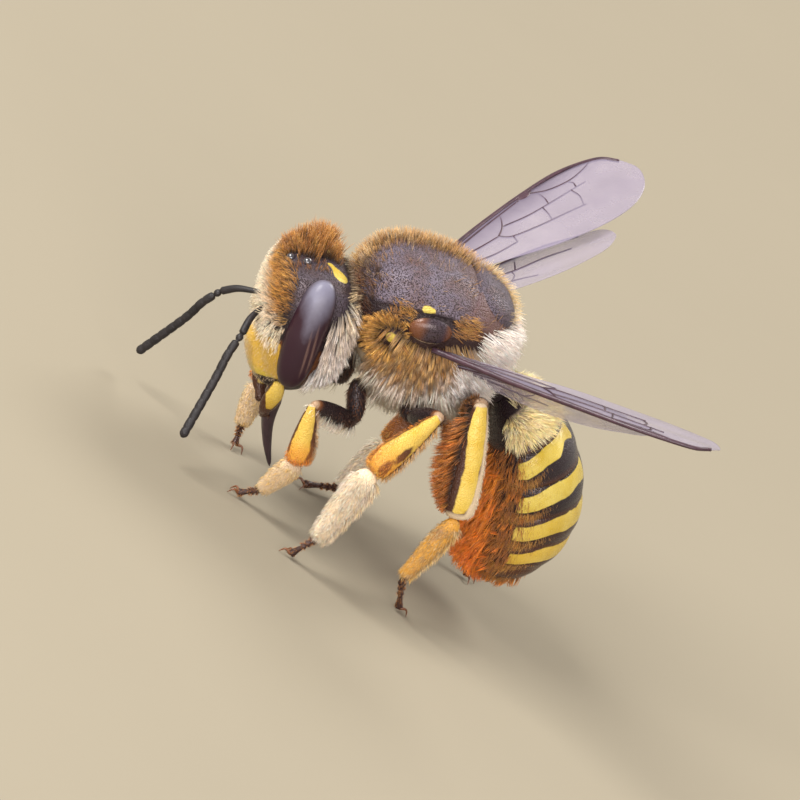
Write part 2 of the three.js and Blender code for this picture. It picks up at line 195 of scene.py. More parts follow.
def make_grain_group():
    group = bpy.data.node_groups.new("shell grain", "ShaderNodeTree")
    group.interface.new_socket("Vector", in_out="INPUT", socket_type="NodeSocketVector")
    for name in ("Pits per mm", "Blotches per mm"):
        group.interface.new_socket(name, in_out="INPUT", socket_type="NodeSocketFloat")
    for name in ("Pits", "Blotches"):
        group.interface.new_socket(name, in_out="OUTPUT", socket_type="NodeSocketFloat")
    given = add_node(group, "NodeGroupInput").outputs
    grain = {0: given["Vector"], "Scale": GRAIN}
    in_mm = add_node(group, "ShaderNodeVectorMath", grain, operation="SCALE").outputs[0]
    cells = {"Vector": in_mm, "Scale": given["Pits per mm"], "Randomness": 0.75}
    pits = add_node(group, "ShaderNodeTexVoronoi", cells, feature="SMOOTH_F1").outputs["Distance"]
    steps = {"Value": pits, "From Min": 0.0, "From Max": 0.55}
    hollow = add_node(group, "ShaderNodeMapRange", steps, interpolation_type="SMOOTHSTEP").outputs[0]
    clouds = {"Vector": in_mm, "Scale": given["Blotches per mm"], "Detail": 4.0, "Roughness": 0.6}
    blotches = add_node(group, "ShaderNodeTexNoise", clouds).outputs["Fac"]
    add_node(group, "NodeGroupOutput", {"Pits": hollow, "Blotches": blotches})
    return group


GRAIN_GROUP = make_grain_group()
print("shell grain group:", len(GRAIN_GROUP.nodes), "nodes")

# %% [markdown]
# Every material starts the same way: a Principled shader, and the grain laid out in Object
# coordinates, so that it stays on the piece from every side.


# %% Material helpers
def start_material(name, pits_per_mm, blotches_per_mm, **constants):
    """A new material's tree, its shader, and the two outputs of the grain."""
    material = bpy.data.materials.new(name)
    material.use_nodes = True
    tree = material.node_tree
    shader = tree.nodes["Principled BSDF"]
    for socket, value in constants.items():
        shader.inputs[socket.replace("_", " ")].default_value = value
    grain = add_node(tree, "ShaderNodeGroup", node_tree=GRAIN_GROUP)
    tree.links.new(add_node(tree, "ShaderNodeTexCoord").outputs["Object"], grain.inputs["Vector"])
    grain.inputs["Pits per mm"].default_value = pits_per_mm
    grain.inputs["Blotches per mm"].default_value = blotches_per_mm
    return material, tree, shader, grain.outputs["Pits"], grain.outputs["Blotches"]


def between(tree, value, low, high, start=0.0, end=1.0):
    shape = {"Value": value, "From Min": low, "From Max": high, "To Min": start, "To Max": end}
    return add_node(tree, "ShaderNodeMapRange", shape).outputs[0]


def blend_colours(tree, share, first, second):
    mix = add_node(tree, "ShaderNodeMix", {0: share}, data_type="RGBA")
    for socket, colour in ((mix.inputs[6], first), (mix.inputs[7], second)):
        if isinstance(colour, bpy.types.NodeSocket):
            tree.links.new(colour, socket)
        else:
            socket.default_value = (*colour, 1)
    return mix.outputs[2]


def sum_of(tree, first, second, factor=1.0):
    scaled = {0: second, 1: factor, 2: first}
    return add_node(tree, "ShaderNodeMath", scaled, operation="MULTIPLY_ADD").outputs[0]


def product_of(tree, first, second):
    return add_node(tree, "ShaderNodeMath", {0: first, 1: second}, operation="MULTIPLY").outputs[0]


def roughen(tree, shader, height, depth_mm, strength=1.0):
    relief = {"Height": height, "Distance": depth_mm * MM, "Strength": strength}
    tree.links.new(add_node(tree, "ShaderNodeBump", relief).outputs[0], shader.inputs["Normal"])


def read_attribute(tree, name, output="Fac"):
    return add_node(tree, "ShaderNodeAttribute", attribute_name=name).outputs[output]


# %% [markdown]
# The skin's finish reads a few numbers kept on its vertices: how far inside a yellow marking
# a point lies, and how amber, how pale, how much painted sky sheen and how glossy the shell
# is there. A marking stored as a distance gives a crisp edge on a coarse mesh, and a little
# noise added to it frays the edge. The sky sheen is a painted reflection: a violet-grey
# glow of the open sky laid on the ridges between the pits. The pits are painted darker than
# the ridges, as painted shade.

# %% Skin material
BLACK_SHELL = (0.006, 0.0028, 0.0032)
GREY_SHELL = (0.02, 0.012, 0.015)
AMBER_SHELL = (0.2, 0.066, 0.014)
# Grey and brown tones of the painted reflection of the sky.
SKY_SHEEN_GREY = (0.126, 0.104, 0.138)
SKY_SHEEN_BROWN = (0.1, 0.048, 0.034)
PALE_SHELL = (0.84, 0.66, 0.44)
OCHRE = (0.62, 0.29, 0.04)
DEEP_YELLOW = (0.5, 0.355, 0.036)
CLEAR_YELLOW = (0.6, 0.475, 0.105)
WARM_SHINE = (1.0, 0.88, 0.86, 1.0)


def make_skin_material():
    constants = {"IOR": 1.42, "Specular_Tint": WARM_SHINE}
    material, tree, shader, pits, blotches = start_material("shell", 25.0, 1.6, **constants)
    yellow, amber, pale, bloom, gloss = (read_attribute(tree, name) for name in SKIN_PAINTS)
    frayed = sum_of(tree, yellow, between(tree, blotches, 0.3, 0.7, -0.5, 0.5), 0.07)
    marked = between(tree, frayed, -0.012, 0.02)
    uneven = between(tree, blotches, 0.35, 0.65)
    # Pits are painted darker than the ridges as painted shade, and the painted reflection of the sky lies
    # on the ridges.
    pitted = between(tree, pits, 0.0, 1.0, 0.0, 0.75)
    dark = blend_colours(tree, pitted, BLACK_SHELL, GREY_SHELL)
    painted_sheen_tone = blend_colours(tree, between(tree, blotches, 0.45, 0.7, 0.0, 0.8), SKY_SHEEN_GREY, SKY_SHEEN_BROWN)
    ridges = between(tree, pits, 0.5, 1.0, 0.1, 1.0)
    sheened_shell = blend_colours(tree, product_of(tree, bloom, ridges), dark, painted_sheen_tone)
    browned = blend_colours(tree, amber, sheened_shell, AMBER_SHELL)
    paled = blend_colours(tree, pale, browned, PALE_SHELL)
    gold = blend_colours(tree, uneven, DEEP_YELLOW, CLEAR_YELLOW)
    tanned = blend_colours(tree, amber, gold, OCHRE)
    tree.links.new(blend_colours(tree, marked, paled, tanned), shader.inputs["Base Color"])
    matt = between(tree, gloss, 0.0, 1.0, 0.5, 0.2)
    tree.links.new(sum_of(tree, matt, pits, -0.08), shader.inputs["Roughness"])
    depth = product_of(tree, pits, between(tree, gloss, 0.0, 1.0, 1.0, 0.12))
    roughen(tree, shader, depth, 0.024)
    return material


SKIN_PAINTS = ("yellow", "amber", "pale", "bloom", "gloss")
SKIN_MATERIAL = make_skin_material()
print("skin material:", len(SKIN_MATERIAL.node_tree.nodes), "nodes")

# %% [markdown]
# ## Skin
#
# Under its hair a bee is a row of hard shells: a broad head capsule, a thorax like a keg,
# six overlapping rings of abdomen and tubes for legs. They could be sculpted, but each is a
# ball, a ring or a turned rod bent by a simple rule, so bmesh makes those shapes and a rule
# on the points bends them. Every shell is kept with its own frame, because the coat is
# planted on it later, and at the end all of them become one skin.

# %% Shape helpers
skin_parts = {}
BARE_SHELL = {"yellow": -1.0, "amber": 0.0, "pale": 0.0, "bloom": 0.0, "gloss": 0.0}
MERGE_DISTANCE = 1e-4


def reshape(bm, rule):
    """Move every point of a bmesh by a rule on an array of places."""
    bent = rule(np.array([vert.co for vert in bm.verts]))
    for vert, place in zip(bm.verts, bent):
        vert.co = place


def ball(around, up, rule):
    bm = bmesh.new()
    bmesh.ops.create_uvsphere(bm, u_segments=around, v_segments=up, radius=1)
    reshape(bm, rule)
    return bm


def read_triples(items, name, kind=float):
    found = np.empty(len(items) * 3, kind)
    items.foreach_get(name, found)
    return found.reshape(-1, 3)


def shell_arrays(bm):
    """Close a shell and give its points and faces, in an order that is the same every time."""
    bmesh.ops.remove_doubles(bm, verts=bm.verts, dist=MERGE_DISTANCE)
    bmesh.ops.recalc_face_normals(bm, faces=bm.faces)
    bm.verts.index_update()
    points = np.array([vert.co for vert in bm.verts])
    order = np.lexsort(points.T)
    rank = np.argsort(order).tolist()
    faces = []
    for face in bm.faces:
        corners = [rank[vert.index] for vert in face.verts]
        is_lid = len(corners) > 4  # a lid's triangles depend on its first corner, so it stays
        first = 0 if is_lid else corners.index(min(corners))
        faces.append(tuple(corners[first:] + corners[:first]))
    bm.free()
    return points[order], sorted(faces)


def keep_part(name, bm, place, paint):
    """Keep a closed shell, painted by a rule, as a part of the skin."""
    points, faces = shell_arrays(bm)
    mesh = bpy.data.meshes.new(name)
    mesh.from_pydata(points, [], faces)
    mesh.calc_loop_triangles()
    normals = read_triples(mesh.vertices, "normal")
    triangles = read_triples(mesh.loop_triangles, "vertices", np.int32)
    paint = {**BARE_SHELL, **paint(points, normals)}
    arrays = {"points": points, "normals": normals, "faces": faces, "triangles": triangles}
    skin_parts[name] = {"place": place, "paint": paint, **arrays}
    bpy.data.meshes.remove(mesh)


def soft_step(value, low, high):
    share = np.clip((value - low) / (high - low), 0, 1)
    return share * share * (3 - 2 * share)


def hill(points, middle, reach):
    """A smooth hill, 1 at its middle and 0 beyond its reach."""
    far = (((points - middle) / reach) ** 2).sum(axis=1)
    return np.clip(1 - far, 0, 1) ** 2


def leftless(points):
    """The same points with those of the left side mirrored over to the right."""
    return np.column_stack((points[:, 0], np.abs(points[:, 1]), points[:, 2]))


def squared_ball(u, power):
    """Swell a unit ball towards a box, more for a higher power."""
    power = np.broadcast_to(power, len(u))[:, None]
    return u / (np.abs(u) ** power).sum(axis=1, keepdims=True) ** (1 / power)


print("shape helpers ready")

# %% [markdown]
# The head capsule is wider than long, flat on top and narrower towards the jaws. The
# clypeus, a raised yellow shield, fills the lower face between the eyes, and a sharp black
# rim ends it above the jaws. Behind the top of each eye sits one yellow spot.

# %% Head capsule
HEAD_MIDDLE = np.array([-3.38, 0, -0.86])
HEAD_FACE, HEAD_NAPE, HEAD_HALF_WIDTH, HEAD_HALF_HEIGHT = 1.08, 1.12, 1.8, 1.9
CHIN_NARROWING = 0.22
EYE_MIDDLE = np.array([-3.5, 1.66, -0.5])
EYE_HALF = np.array([0.54, 0.5, 1.59])
EYE_SPLAY = 0.12
SPOT_FROM, SPOT_TO = np.array((-3.14, 0.3, 1.04)), np.array((-2.87, 0.72, 0.97))


def head_rule(u):
    upper = soft_step(u[:, 2], -0.5, 0.3)
    u = squared_ball(u, 2.2 + 1.2 * upper)
    lower = np.maximum(0, -u[:, 2])
    x = np.where(u[:, 0] < 0, HEAD_FACE, HEAD_NAPE) * u[:, 0]
    y = HEAD_HALF_WIDTH * (1 - CHIN_NARROWING * lower**2) * u[:, 1]
    points = HEAD_MIDDLE + np.stack((x, y, HEAD_HALF_HEIGHT * u[:, 2]), axis=1)
    shield = soft_step(0.78 - np.abs(points[:, 1]) + 0.1 * lower, -0.1, 0.1)
    shield *= soft_step(-1.3 - points[:, 2], -0.12, 0.25) * soft_step(points[:, 2] + 2.85, 0, 0.1)
    points[:, 0] -= 0.2 * shield * (points[:, 0] < HEAD_MIDDLE[0])
    return points


def spot_line(points):
    """How far along the nearer yellow spot's line a point lies, and how far off that line."""
    from_spot = leftless(points) - SPOT_FROM
    along = SPOT_TO - SPOT_FROM
    share = np.clip(from_spot @ along / (along @ along), 0, 1)
    return share, np.linalg.norm(from_spot - share[:, None] * along, axis=1)


def paint_head(points, normals):
    x, far, z = leftless(points).T
    face = np.minimum(-1.2 + 0.28 * soft_step(far, 0.6, 1.3) - z, z + 2.46 - 0.26 * far**2)
    yellow = np.minimum(face, np.minimum(-3.5 - x, 1.64 - far))
    share, off_line = spot_line(points)
    return {
        "yellow": np.maximum(yellow, 0.09 + 0.16 * share**1.5 - off_line),
        "amber": 0.45 * soft_step(z, -2.2, -2.0) * (z < -0.8),
        # The painted reflection of the sky grows towards the top of the head.
        "bloom": 0.4 * soft_step(z, -0.3, 0.5),
        "gloss": 0.35 * (yellow > 0),
    }


keep_part("head", ball(112, 72, head_rule), TRUNK, paint_head)
print("head capsule:", len(skin_parts["head"]["points"]), "points")

# %% [markdown]
# The thorax is the bee's engine room. Its roof, the scutum, is a dome of dull pitted shell
# with two fine lines along it, and a groove sets it off from the shield behind it, the
# scutellum. A short yellow dash lies on the rim of the scutum above the wing cap, and a
# small yellow lobe bulges in front of it.

# %% Thorax and scutellum
THORAX_FRONT, THORAX_BREAST, THORAX_REAR = 2.3, 1.8, 2.2
THORAX_TOP, THORAX_BOTTOM, THORAX_LEAN = 1.9, 2.0, -0.75
LOBE_MIDDLE = np.array((-1.28, 1.63, 0.02))


def cap_rim(x):
    """Height of the groove that runs above the wing cap."""
    return 0.9 - 0.1 * (x + 0.4) ** 2


def thorax_rule(u):
    u = squared_ball(u, 2.35)
    upper, lower = np.maximum(0, u[:, 2]), np.maximum(0, -u[:, 2])
    lean = THORAX_LEAN * upper**2
    front = (THORAX_FRONT + 0.4 * lean) * (1 - lower) + THORAX_BREAST * lower
    x = lean + u[:, 0] * np.where(u[:, 0] < 0, front, THORAX_REAR)
    y = u[:, 1] * (1.84 + 0.16 * soft_step(u[:, 2], -0.2, 0.35))
    z = u[:, 2] * np.where(u[:, 2] > 0, THORAX_TOP, THORAX_BOTTOM)
    points = np.stack((x, y, z), axis=1)
    groove = np.exp(-(((z - cap_rim(x)) / 0.06) ** 2)) * soft_step(1.5 - np.abs(x + 0.4), 0, 0.4)
    points[:, 1] -= 0.1 * np.sign(y) * groove
    seam = np.exp(-(((x - 0.85 + 0.12 * y**2) / 0.07) ** 2)) * soft_step(z, 0.8, 1.1)
    lines = np.exp(-(((np.abs(y) - 0.75) / 0.03) ** 2)) * soft_step(z, 1.2, 1.4) * soft_step(x, -1.3, -0.9)
    points[:, 2] -= 0.12 * seam + 0.02 * lines
    lobe = hill(np.column_stack((points[:, 0], np.abs(y), points[:, 2])), LOBE_MIDDLE, 0.32)
    points[:, 1] += 0.1 * np.sign(y) * lobe
    return points


def paint_thorax(points, normals):
    x, y, z = points.T
    dash = 0.075 - np.hypot(np.maximum(np.abs(x + 0.57) - 0.1, 0), z - 1.05)
    lobe = 0.15 - np.linalg.norm(leftless(points) - (0, 0.06, 0) - LOBE_MIDDLE, axis=1)
    # The painted reflection of the sky is strongest in front and stops at the groove above the wing cap.
    bloom = (0.95 - 0.3 * soft_step(x, -0.4, 1.2)) * soft_step(z - cap_rim(x), 0.04, 0.16)
    roof_amber = 0.3 * soft_step(y, 0.0, 0.9) + 0.28 * soft_step(x, 0.0, 1.2)
    return {
        "yellow": np.maximum(np.where(z > 0.8, dash, -1), lobe),
        "amber": np.where(z < 0.5, 0.06, roof_amber),
        # The underside is painted pale: painted light that brightens the shadowed hair below.
        "pale": 0.6 * soft_step(-0.7 - z, 0, 0.3),
        "bloom": bloom,
    }


keep_part("thorax", ball(128, 88, thorax_rule), TRUNK, paint_thorax)

SCUTELLUM_TURN = Matrix.Translation((1.3, 0, 0.98)) @ Matrix.Rotation(0.55, 4, "Y")
SCUTELLUM_HALF = (0.8, 1.22, 0.5)
scutellum = ball(64, 32, lambda u: squared_ball(u, 2.4) * SCUTELLUM_HALF)
# The scutellum carries the painted reflection of the sky all over.
keep_part("scutellum", scutellum, TRUNK @ SCUTELLUM_TURN, lambda points, normals: {"bloom": 0.7})
print("thorax and scutellum:", len(skin_parts["thorax"]["points"]), "points in the thorax")

# %% [markdown]
# Legs, jaws and feelers are all turned rods: a profile spun about its own length, flattened
# and set between two joints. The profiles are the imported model's, with their corners
# smoothed, on a thinner core that leaves room for hair.


# %% Turned limbs
def catmull(controls, steps):
    """A smooth curve through control points, as an array."""
    controls = np.asarray(controls, float)
    padded = np.vstack((2 * controls[0] - controls[1], controls, 2 * controls[-1] - controls[-2]))
    curve = []
    for before, start, end, after in zip(padded, padded[1:], padded[2:], padded[3:]):
        for share in np.arange(steps) / steps:
            startward, endward = (end - before) / 2, (after - start) / 2
            rise = 3 * (end - start) - 2 * startward - endward
            fall = 2 * (start - end) + startward + endward
            curve.append(start + share * (startward + share * (rise + share * fall)))
    curve.append(controls[-1])
    return np.array(curve)


def limb_place(start, end):
    """The limb's own frame: X along its broad side, Z from joint to joint."""
    start, end = Vector(start), Vector(end)
    along = (end - start).normalized()
    broad = along.cross(Vector((0, 1, 0))).normalized()
    return posed(start, broad, along.cross(broad), along)


def turned(length, radius, profile, flatness=1.0, around=28, steps=5):
    """A rod of a length and radius, spun from a profile in shares of both."""
    outline = catmull(profile, steps) * (length, radius)
    outline[:, 1] = np.maximum(outline[:, 1], 0)
    bm = bmesh.new()
    rod = [bm.verts.new((share, 0, way)) for way, share in outline]
    edges = [bm.edges.new(pair) for pair in zip(rod, rod[1:])]
    turn = {"cent": (0, 0, 0), "axis": (0, 0, 1), "angle": math.tau, "steps": around, "use_merge": True}
    bmesh.ops.spin(bm, geom=rod + edges, **turn)
    for vert in bm.verts:
        vert.co.y *= flatness
    return bm


ROUND_START = [(0, 0), (0.03, 0.4), (0.12, 0.7), (0.3, 0.94), (0.5, 1)]
ROUND_ENDED = ROUND_START + [(1 - way, share) for way, share in ROUND_START[-2::-1]]
FEMUR = [(0, 0), (0.03, 0.45), (0.2, 0.85), (0.5, 1), (0.8, 0.82), (0.95, 0.52), (0.99, 0.3), (1, 0)]
CLUB = [(0, 0), (0.02, 0.28), (0.1, 0.42), (0.3, 0.66), (0.62, 0.94), (0.86, 1), (0.97, 0.74), (1, 0)]
BLADE = [(0, 0), (0.02, 0.34), (0.1, 0.54), (0.3, 0.78), (0.62, 1), (0.86, 0.98), (0.97, 0.7), (1, 0)]
PADDLE = [(0, 0), (0.03, 0.55), (0.15, 0.95), (0.45, 1), (0.8, 0.8), (0.97, 0.6), (1, 0)]
TARSOMERE = [(0, 0), (0.05, 0.5), (0.5, 0.72), (0.9, 1), (0.98, 0.8), (1, 0)]
RODS = {"neck": ((-2.6, 0, -0.6), (-1.7, 0, -0.5), 0.6), "waist": ((1.5, 0, -1.3), (3.1, 0, -1.65), 0.35)}
for name, (start, end, radius) in RODS.items():
    rod = turned((Vector(end) - Vector(start)).length, radius, ROUND_ENDED)
    keep_part(name, rod, TRUNK @ limb_place(start, end), lambda points, normals: {})
print("neck and waist:", len(skin_parts), "parts so far")

# %% [markdown]
# The abdomen hangs and curls under like a comma. Each of its six back plates is a short
# drum that starts tucked under the one in front, swells, and ends in a thin pressed-down
# edge over the next. On every back plate but the last lies a yellow band, slanted towards
# its outer end and broken by a black gap along the middle of the back.

# %% Abdomen
ABDOMEN_RINGS = [  # X and Z of the back, X and Z of the belly, half width
    (2.6, -1.2, 2.35, -1.9, 0.4),
    (3.5, -1.35, 2.35, -2.35, 1.25),
    (4.4, -1.85, 2.4, -3.05, 1.75),
    (5.15, -2.8, 2.5, -3.9, 1.92),
    (5.58, -4.0, 2.6, -4.75, 1.9),
    (5.5, -5.15, 2.7, -5.55, 1.72),
    (5.0, -6.05, 2.85, -6.15, 1.35),
    (4.3, -6.65, 3.4, -6.6, 0.7),
]
RING_STEPS = 40
RING_LINE = catmull(ABDOMEN_RINGS, RING_STEPS)
ABDOMEN_CUTS = [0.05, 1.8, 2.8, 3.7, 4.6, 5.6, 7]
PLATE_PROFILE = [
    (-0.14, 0.86), (-0.08, 0.9), (0.0, 0.93), (0.08, 0.95), (0.18, 0.965), (0.3, 0.975),
    (0.42, 0.98), (0.54, 0.982), (0.66, 0.98), (0.76, 0.975), (0.83, 0.968), (0.88, 0.958),
    (0.94, 0.955), (1.0, 0.955), (1.04, 0.95), (1.05, 0.935), (1.03, 0.9),
]  # fmt: skip
TIP_PROFILE = [(1.02, 0.86), (1.04, 0.7), (1.05, 0.4), (1.05, 0.0)]
PLATE_AROUND = 96


def ring_at(number, size, angle):
    """Points of the abdomen's cross-section, with the angle counted from the back."""
    row = RING_LINE[np.clip(np.round(number * RING_STEPS).astype(int), 0, len(RING_LINE) - 1)]
    back_x, back_z, belly_x, belly_z, half_width = row.T
    deep_x, deep_z = (back_x - belly_x) / 2, (back_z - belly_z) / 2
    up, across = size * np.cos(angle), size * np.sin(angle)
    x = (back_x + belly_x) / 2 + deep_x * up
    return np.stack((x, half_width * across, (back_z + belly_z) / 2 + deep_z * up), axis=-1)


def make_plate(index):
    """One drum of the abdomen: a grid rolled up round the body, closed at both ends."""
    start, length = ABDOMEN_CUTS[index], ABDOMEN_CUTS[index + 1] - ABDOMEN_CUTS[index]
    profile = np.array(PLATE_PROFILE)
    if index == len(ABDOMEN_CUTS) - 2:
        profile = np.vstack((profile[:11], TIP_PROFILE))
    levels = len(profile) - 1
    bm = bmesh.new()
    bmesh.ops.create_grid(bm, x_segments=PLATE_AROUND, y_segments=levels, size=1)

    def roll_up(flat):
        row = np.round((flat[:, 1] + 1) / 2 * levels).astype(int)
        number = np.maximum(start + length * profile[row, 0], 0)
        return ring_at(number, profile[row, 1], math.pi * (flat[:, 0] + 1))

    reshape(bm, roll_up)
    bmesh.ops.remove_doubles(bm, verts=bm.verts, dist=MERGE_DISTANCE)
    bmesh.ops.holes_fill(bm, edges=[edge for edge in bm.edges if edge.is_boundary])
    return bm


def ring_coordinates(points):
    """How far along the abdomen a point lies, in ring numbers, and its angle from the back."""
    middles = (RING_LINE[:, [0, 1]] + RING_LINE[:, [2, 3]]) / 2
    deep = (RING_LINE[:, [0, 1]] - RING_LINE[:, [2, 3]]) / 2
    across = np.stack((-deep[:, 1], deep[:, 0]), axis=1) / np.linalg.norm(deep, axis=1)[:, None]
    away = points[:, None, [0, 2]] - middles
    nearest = np.abs((away * across).sum(axis=2)).argmin(axis=1)
    row, offset = RING_LINE[nearest], points[:, [0, 2]] - middles[nearest]
    up = (offset * deep[nearest]).sum(axis=1) / (deep[nearest] ** 2).sum(axis=1)
    return nearest / RING_STEPS, np.arctan2(np.abs(points[:, 1]) / row[:, 4], up)


def paint_plate(index):
    start, length = ABDOMEN_CUTS[index], ABDOMEN_CUTS[index + 1] - ABDOMEN_CUTS[index]
    first, last, gap, reach, notch = BANDS[index]
    ochre = 0.1 * max(index - 2, 0)

    def paint(points, normals):
        number, angle = ring_coordinates(points)
        way = (number - start) / length
        pitch = 1.35 - 0.4 * angle / math.pi
        slant = band_slant(angle)
        rear = last - notch * hill(angle[:, None], 0.62, 0.36)
        band = np.minimum(way - first - slant, rear + slant - way) * pitch
        band = np.minimum(band, np.minimum(angle - gap, reach - angle) * 1.6)
        amber = 0.2 * soft_step(way, 0.9, 1.0) + 0.4 * (index > 0) * soft_step(angle, 2.1, 2.5) + ochre
        # Under the butter-coloured hair the skin is painted pale, painted light that brightens hair the
        # wing shades; the plates keep only a trace of painted sky reflection.
        pale = soft_step(1.38 - number, 0, 0.1) * soft_step(number - waist_edge(angle), 0.1, 0.2)
        pale = 0.8 * pale * soft_step(1.9 - angle, 0, 0.3)
        return {"yellow": band, "amber": amber, "pale": pale, "bloom": 0.03, "gloss": 0.6}

    return paint


def band_slant(angle):
    """How far a yellow band runs rearwards at its outer end, in shares of its plate."""
    return 0.24 * soft_step(angle, 1.15, 1.85)


def waist_edge(angle):
    """Where along the abdomen its butter-coloured hair begins: nearer the waist on top."""
    return 0.35 + 0.2 * soft_step(angle, 0.7, 1.3)


BANDS = [  # start and end in shares of the plate, gap on the back, reach round the side, notch
    (0.5, 0.75, 0.7, 1.6, 0),
    (0.06, 0.53, 0.22, 1.92, 0.2),
    (0.09, 0.58, 0.2, 1.92, 0.1),
    (0.07, 0.57, 0.16, 1.92, 0),
    (0.05, 0.55, 0.35, 1.86, 0),
    (0.15, 0.4, 0.5, 0.5, 0),
]
for index in range(len(BANDS)):
    keep_part(f"abdomen_{index + 1}", make_plate(index), TRUNK, paint_plate(index))
print("six abdomen plates,", len(skin_parts["abdomen_2"]["points"]), "points each")

# %% [markdown]
# Each leg is a chain of rods: coxa and femur are black, with a pale knee; the tibia is a
# club, narrow at the knee, yellow outside with dark blotches or a dark stripe; the
# basitarsus is a pale paddle; and four small brown segments carry the claws.

# %% Legs
LEGS = {  # joints from the body to the foot
    "front_left": [
        (-0.89, -0.75, 4.2), (-0.3, -1.1, 3.2), (-2.04, -2.3, 3.45),
        (-1.35, -2.3, 1.86), (-1.57, -2.0, 0.55), (-1.95, -1.85, 0.08),
    ],
    "middle_left": [
        (0.65, -0.95, 4.5), (0.6, -1.7, 4.35), (0.65, -3.2, 5.3),
        (-0.21, -3.9, 3.29), (-0.27, -4.0, 0.95), (-0.5, -3.8, 0.08),
    ],
    "hind_left": [
        (2.1, -0.95, 5.1), (2.0, -1.5, 5.2), (1.46, -2.8, 6.1),
        (2.74, -3.4, 3.19), (2.6, -3.3, 1.0), (3.15, -3.0, 0.08),
    ],
    "front_right": [
        (-0.89, 0.75, 4.2), (-0.5, 1.1, 3.2), (-2.3, 2.4, 3.4),
        (-1.95, 1.8, 1.8), (-1.75, 1.55, 0.6), (-1.66, 1.3, 0.08),
    ],
    "middle_right": [
        (0.65, 0.95, 4.5), (0.9, 1.6, 4.3), (2.6, 2.95, 4.1),
        (2.35, 2.6, 1.9), (1.75, 1.9, 0.4), (0.7, 1.45, 0.08),
    ],
    "hind_right": [
        (2.1, 0.95, 5.1), (2.2, 1.5, 5.1), (2.9, 2.9, 5.4),
        (4.6, 2.9, 2.6), (5.6, 2.5, 0.85), (6.2, 2.0, 0.08),
    ],
}  # fmt: skip
LEG_RADII = {
    "front": {"coxa": 0.25, "femur": 0.27, "tibia": 0.35, "basitarsus": 0.31},
    "middle": {"coxa": 0.3, "femur": 0.3, "tibia": 0.4, "basitarsus": 0.37},
    "hind": {"coxa": 0.34, "femur": 0.32, "tibia": 0.45, "basitarsus": 0.28},
}
LIMB_FLATNESS = 0.72
LEG_SHAPES = {
    "coxa": (ROUND_ENDED, 1.0),
    "femur": (FEMUR, 0.85),
    "tibia": (CLUB, LIMB_FLATNESS),
    "basitarsus": (PADDLE, 0.6),
}
TARSOMERE_RADII = [0.115, 0.105, 0.095, 0.11]
TARSOMERE_ENDS = [0.0, 0.2, 0.38, 0.55, 1.0]
TARSOMERE_OVERLAP = 1.06
FOOT_LIFT = Vector((0, 0, 0.06))
PADDLE_PAINT = {  # yellow, amber and pale of the basitarsus
    "front": (-1, 0.6, 0.6),
    "middle": (-1, 0, 0.95),
    "hind": (0.015, 0.9, 0.2),
}


def limb_ways(place, side):
    """Outwards, rearwards and down, in a limb's own frame."""
    inverse = (place.to_3x3().inverted() * MM).normalized()
    return [np.array((inverse @ Vector(way)).normalized()) for way in ((0, side, 0), (1, 0, 0), (0, 0, -1))]


def limb_paint(pair, segment, side, length, radius, place):
    """Colours of one leg segment, from how far along and on which side a point lies."""
    outward, rearward, _ = limb_ways(place, side)

    def paint(points, normals):
        way = points[:, 2] / length
        out, rear = normals @ outward, normals @ rearward
        if segment == "coxa":
            return {"gloss": 0.4}
        if segment == "femur":
            pale, amber = 0.3 * soft_step(way, 0.92, 0.96), 0.7 * soft_step(way, 0.86, 0.93)
            return {"pale": pale, "amber": amber, "gloss": 0.5}
        if segment == "tibia":
            cap = 1 - soft_step(way, 0.025, 0.05)
            yellow = np.minimum((out + 0.35) * radius, (way - 0.03) * length)
            if pair == "hind":
                front, edge = 0.68 - 0.34 * soft_step(way, 0.08, 0.62), 0.5 - 0.36 * way**2
                yellow = np.minimum(yellow, np.minimum(rear + front, edge - rear) * radius)
                ridge = soft_step(rear - edge, -0.04, 0.04) * soft_step(out, -0.7, -0.2)
                pale = np.maximum(np.maximum(0.6 * cap, 0.75 * ridge), 0.65 * soft_step(way, 0.92, 0.95))
                yellow = np.minimum(yellow, (0.93 - way) * length)
                return {"yellow": yellow, "pale": pale, "amber": 0.2, "gloss": 0.5}
            if pair == "middle":
                blotch = 0.2 - np.hypot((way - 0.6) * 1.4, (rear - 0.32) * 0.9)
                blotch = np.maximum(blotch, 0.2 - np.hypot((way - 0.9) * 1.7, (rear - 0.16) * 0.7))
                blotch = np.maximum(blotch, np.abs(rear + 0.08) - 0.74)
            else:
                blotch = np.maximum(0.8 * (rear - 0.35), -0.84 - rear)
            yellow = np.minimum(yellow, -blotch * radius)
            amber = 0.32 + 0.68 * soft_step(way, 0.5, 0.82)
            return {"yellow": yellow, "pale": 0.6 * cap, "amber": amber, "gloss": 0.3}
        if segment == "basitarsus":
            yellow, amber, pale = PADDLE_PAINT[pair]
            return {"yellow": yellow, "amber": amber, "pale": pale, "gloss": 0.2}
        return {"amber": 0.1, "gloss": 0.5}

    return paint


